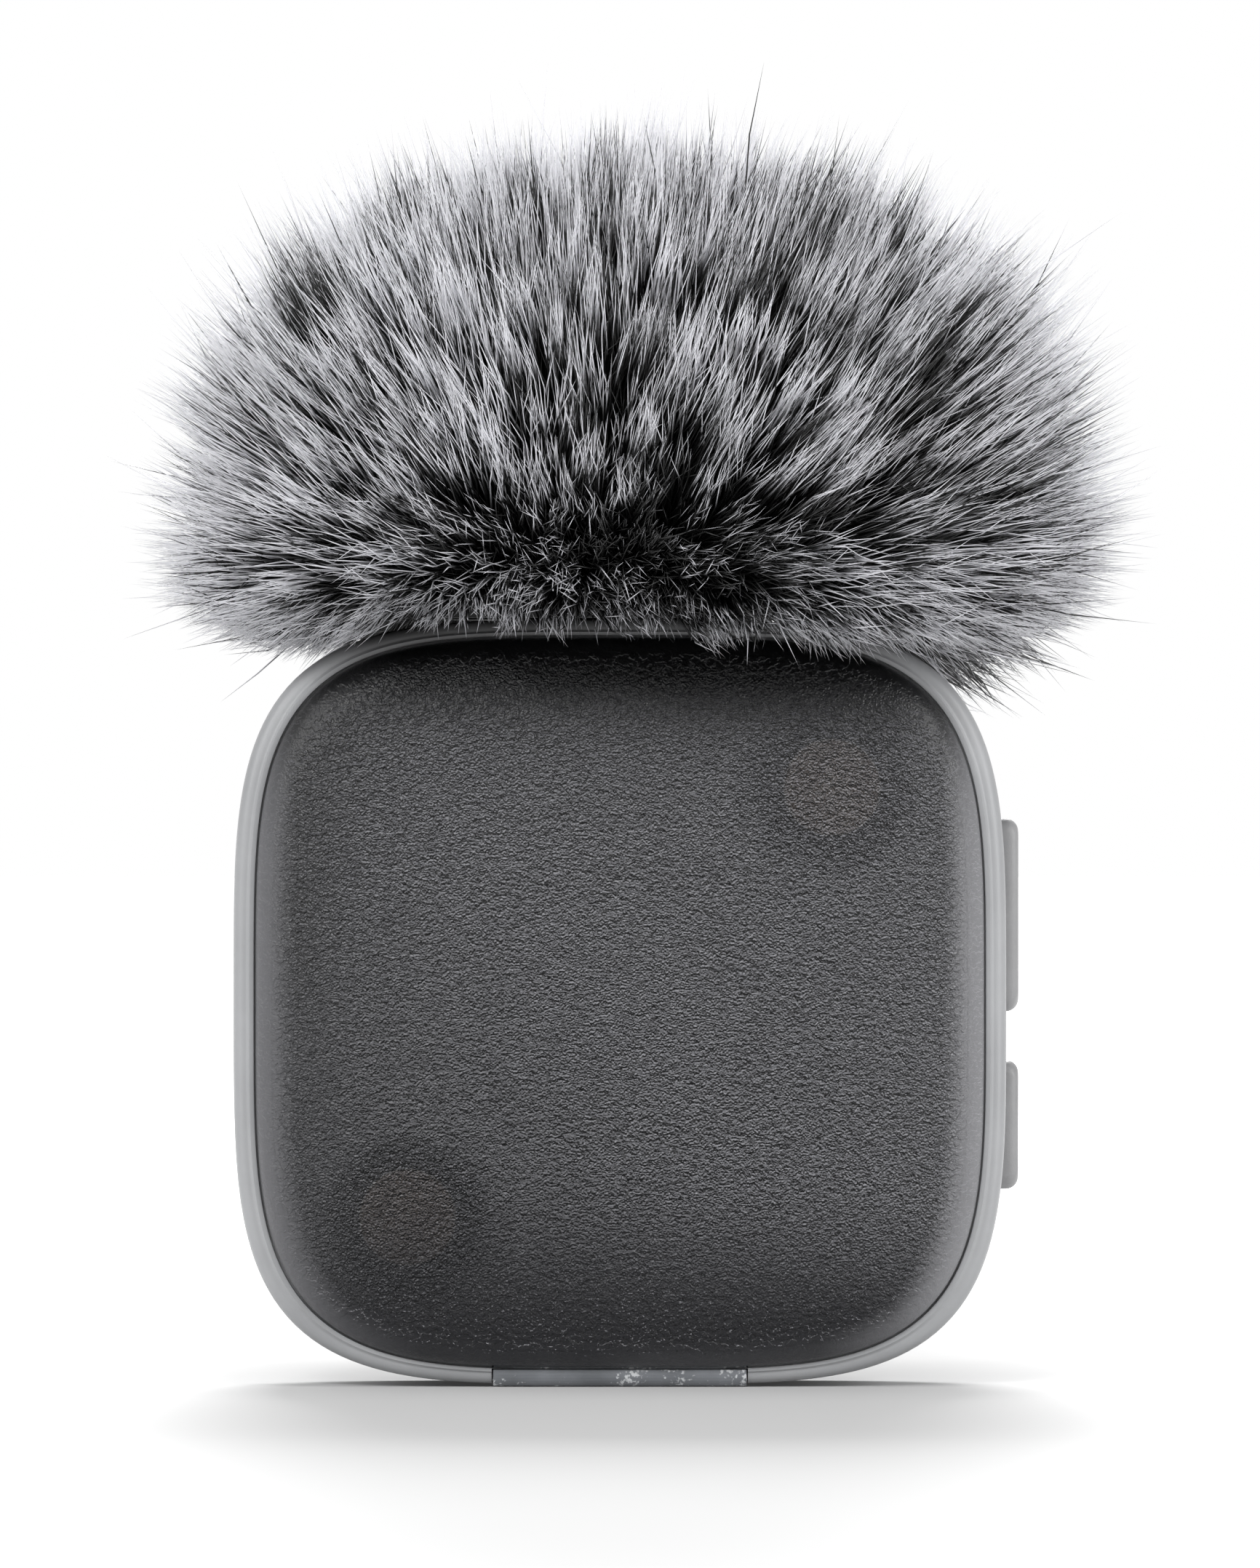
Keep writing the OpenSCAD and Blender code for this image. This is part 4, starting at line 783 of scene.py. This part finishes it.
along = addNode(tree, "SeparateXYZ", inputs={0: along})
start = addNode(tree, "MapRange", inputs={
    "Value": along.outputs[0], "From Min": fur["darkest"], **span("To", fur["turnsPale"])})
end = addNode(tree, "Math", {"operation": "ADD"}, {0: start, 1: fur["blend"]})
pale = addNode(tree, "MapRange", smooth, {"Value": along.outputs[1], "From Min": start, "From Max": end})
tip = addNode(tree, "Mix", colors, {
    0: along.outputs[0], 6: hexColor(fur["tips"][0]), 7: hexColor(fur["tips"][1])})
fibreColor = addNode(tree, "Mix", colors, {0: pale, 6: hexColor(fur["root"]), 7: tip})
through = addNode(tree, "Math", {"operation": "MULTIPLY"}, {0: pale, 1: fur["through"]})
feed(shader, {"Base Color": fibreColor, "Transmission Weight": through})


def unit(vectors):
    return vectors / np.maximum(np.linalg.norm(vectors, axis=1, keepdims=True), 1e-9)


def aroundDome(random, count, lowest):
    # even directions over a dome that reaches a little below level
    z = random.uniform(lowest, 1, count)
    turn = random.uniform(0, 2 * math.pi, count)
    flat = np.sqrt(1 - z * z)
    return np.stack([flat * np.cos(turn), flat * np.sin(turn), z], 1)


def dressed(values, directions, effect):
    # lengths or tones, changed near each spot of the dressing
    for spot in fur["dressing"]:
        away = np.linalg.norm(directions - unit(np.array([spot["toward"]])), axis=1) / spot["spread"]
        values = values * (1 + spot[effect] * np.exp(-away ** 2))
    return values


def outerSkin(directions):
    # where the dressed fur ends in each direction
    below = directions[:, 2] < 0
    half = np.array(fur["half"])
    power = np.where(below, fur["lowPower"], fur["power"])[:, None]
    reach = np.where(below[:, None], (half[0], half[1], fur["lowHalf"]), half)
    radius = (np.abs(directions / reach) ** power).sum(1) ** (-1 / power[:, 0])
    return np.array(fur["middle"]) + directions * dressed(radius, directions, "longer")[:, None]


def domeRoots(directions):
    lifted = directions.copy()
    lifted[:, 2] = np.maximum(lifted[:, 2], fur["rootLevel"])
    return np.array(fur["rootMiddle"]) + unit(lifted) * np.array(fur["rootHalf"]), unit(lifted)


def nearestOf(points, centres, batch=4000):
    found = np.empty(len(points), int)
    for k in range(0, len(points), batch):
        found[k:k + batch] = np.argmax(points[k:k + batch] @ centres.T, axis=1)
    return found


def bodyTop(x):
    share = np.clip(np.abs(x) / ring["outer"][0], 0, 1)
    return bodyHeight + ring["outer"][1] * (1 - share ** squareness) ** (1 / squareness)


def fibrePaths(random, kind):
    count = kind["fibres"]
    aim = aroundDome(random, count, fur["lowest"])
    locks = aroundDome(np.random.default_rng(fur["seed"] + 1), fur["locks"], fur["lowest"])
    wisps = aroundDome(np.random.default_rng(fur["seed"] + 2), fur["wisps"], fur["lowest"])
    tuftRandom = np.random.default_rng(fur["seed"] + 3)
    lockLean = tuftRandom.normal(0, fur["lockLean"], (fur["locks"], 3))
    wispLean = tuftRandom.normal(0, fur["wispLean"], (fur["wisps"], 3))
    lockLength = tuftRandom.uniform(*fur["lockLength"], fur["locks"])
    wispLength = tuftRandom.uniform(*fur["wispLength"], fur["wisps"])
    lockTone = tuftRandom.uniform(-fur["lockTone"], fur["lockTone"], fur["locks"])
    wispTone = tuftRandom.uniform(-fur["wispTone"], fur["wispTone"], fur["wisps"])
    inLock, inWisp = nearestOf(aim, locks), nearestOf(aim, wisps)
    pull = fur["lockGather"] * (locks[inLock] - aim) + kind["gather"] * (wisps[inWisp] - aim)
    tipAim = unit(aim + pull + lockLean[inLock] + wispLean[inWisp]
                  + random.normal(0, fur["tipLean"], (count, 3)))
    roots, normals = domeRoots(unit(aim + random.normal(0, fur["rootLean"], (count, 3))))
    tips = outerSkin(tipAim)
    share = lockLength[inLock] * wispLength[inWisp] * random.uniform(*kind["lengths"], count)
    tips = roots + (tips - roots) * share[:, None]
    length = np.linalg.norm(tips - roots, axis=1)
    low = np.clip(-aim[:, 2] / fur["lowFrom"], 0, 1)       # the lowest fibres are the most tousled
    t = np.linspace(0, 1, fur["steps"])[None, :, None]
    first = roots + normals * (length * fur["stiff"][0])[:, None]
    stray = random.uniform(0, 1, count) < kind["strays"]
    loose = np.where(stray, fur["strayBend"], kind["bend"] + fur["lowBend"] * low)
    bend = random.normal(0, 1, (count, 3)) * (length * loose)[:, None]
    tips += np.where(stray[:, None], random.normal(0, fur["strayBend"], (count, 3)) * length[:, None], 0)
    second = roots + (tips - roots) * fur["stiff"][1] + bend
    paths = ((1 - t) ** 3 * roots[:, None] + 3 * (1 - t) ** 2 * t * first[:, None]
             + 3 * (1 - t) * t ** 2 * second[:, None] + t ** 3 * tips[:, None])
    # fibres that would run into the body are left out, and the rest lie clear of it
    over = (np.abs(paths[..., 1] - portY) < fur["bodyDepth"]) & (np.abs(paths[..., 0]) < fur["bodySide"])
    sunk = np.where(over, bodyTop(paths[..., 0]) + fur["clearance"] - paths[..., 2], 0)
    free = sunk.max(axis=1) < fur["sunkLimit"]
    paths[..., 2] += np.maximum(sunk, 0)
    tone = fur["tone"] + lockTone[inLock] + wispTone[inWisp] + random.normal(0, fur["toneNoise"], count)
    tone = np.clip(dressed(tone, aim, "paler"), *fur["toneSpan"]) * kind["paleness"]
    return paths[free], tone[free], aim[free]


def fibreMesh(name, paths, tone, widths, random):
    # three-sided tapered fibres, closed at the root and pointed at the tip
    count, steps = paths.shape[:2]
    along = np.gradient(paths, axis=1)
    along /= np.maximum(np.linalg.norm(along, axis=2, keepdims=True), 1e-9)
    side = np.cross(along, unit(random.normal(0, 1, (count, 3)))[:, None])
    side /= np.maximum(np.linalg.norm(side, axis=2, keepdims=True), 1e-9)
    other = np.cross(along, side)
    taper = np.interp(np.linspace(0, 1, steps), *fur["taper"]) / 2
    taper = widths[:, None, None] * taper[None, :, None]
    rings = []
    for k in range(3):
        angle = 2 * math.pi * k / 3
        rings.append(paths + (side * math.cos(angle) + other * math.sin(angle)) * taper)
    points = np.stack(rings, 2)[:, :-1]                  # the last ring becomes the tip
    body = points.reshape(count, -1, 3)
    points = np.concatenate([body, paths[:, -1:]], 1)
    each = points.shape[1]
    local, faceV = [], []
    for s in range(steps - 2):
        for k in range(3):
            j = (k + 1) % 3
            local.append((s * 3 + k, s * 3 + j, (s + 1) * 3 + j, (s + 1) * 3 + k))
            faceV.append((s, s, s + 1, s + 1))
    last = (steps - 2) * 3
    for k in range(3):
        local.append((last + k, last + (k + 1) % 3, each - 1))
        faceV.append((steps - 2, steps - 2, steps - 1))
    local.append((2, 1, 0))
    faceV.append((0, 0, 0))
    loops = np.array([i for face in local for i in face])
    vAlong = np.array([v for face in faceV for v in face]) / (steps - 1)
    sizes = np.array([len(face) for face in local])
    allLoops = (np.arange(count)[:, None] * each + loops[None]).ravel()
    allSizes = np.tile(sizes, count)
    mesh = bpy.data.meshes.new(name)
    mesh.vertices.add(count * each)
    mesh.vertices.foreach_set("co", (points * mm).astype(np.float32).ravel())
    mesh.loops.add(len(allLoops))
    mesh.loops.foreach_set("vertex_index", allLoops.astype(np.int32))
    mesh.polygons.add(len(allSizes))
    starts = np.concatenate([[0], np.cumsum(allSizes)[:-1]])
    mesh.polygons.foreach_set("loop_start", starts.astype(np.int32))
    mesh.polygons.foreach_set("use_smooth", np.ones(len(allSizes), bool))
    mesh.update(calc_edges=True)
    uv = mesh.uv_layers.new(name="OFBake")
    u = np.repeat(tone, len(loops))
    v = np.tile(vAlong, count)
    uv.data.foreach_set("uv", np.stack([u, v], 1).astype(np.float32).ravel())
    mesh.materials.append(furMaterial)
    piece = bpy.data.objects.new(name, mesh)
    bpy.context.scene.collection.objects.link(piece)
    return piece


random = np.random.default_rng(fur["seed"])
grown = [fibrePaths(random, kind) for kind in fur["kinds"]]
widths = np.repeat([kind["width"] for kind in fur["kinds"]], [len(part[0]) for part in grown])
paths, tone, aim = (np.concatenate(column) for column in zip(*grown))
order = np.argsort(np.arctan2(aim[:, 1], aim[:, 0]))
for k, part in enumerate(np.array_split(order, fur["pieces"])):
    piece = fibreMesh(f"furPile{k + 1}", paths[part], tone[part], widths[part], random)
    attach(piece, "windscreen")
    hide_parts("windscreen_fur")
print("fur made,", len(paths), "fibres")

view = bpy.context.scene.view_settings
view.view_transform = "Standard"
print("done")
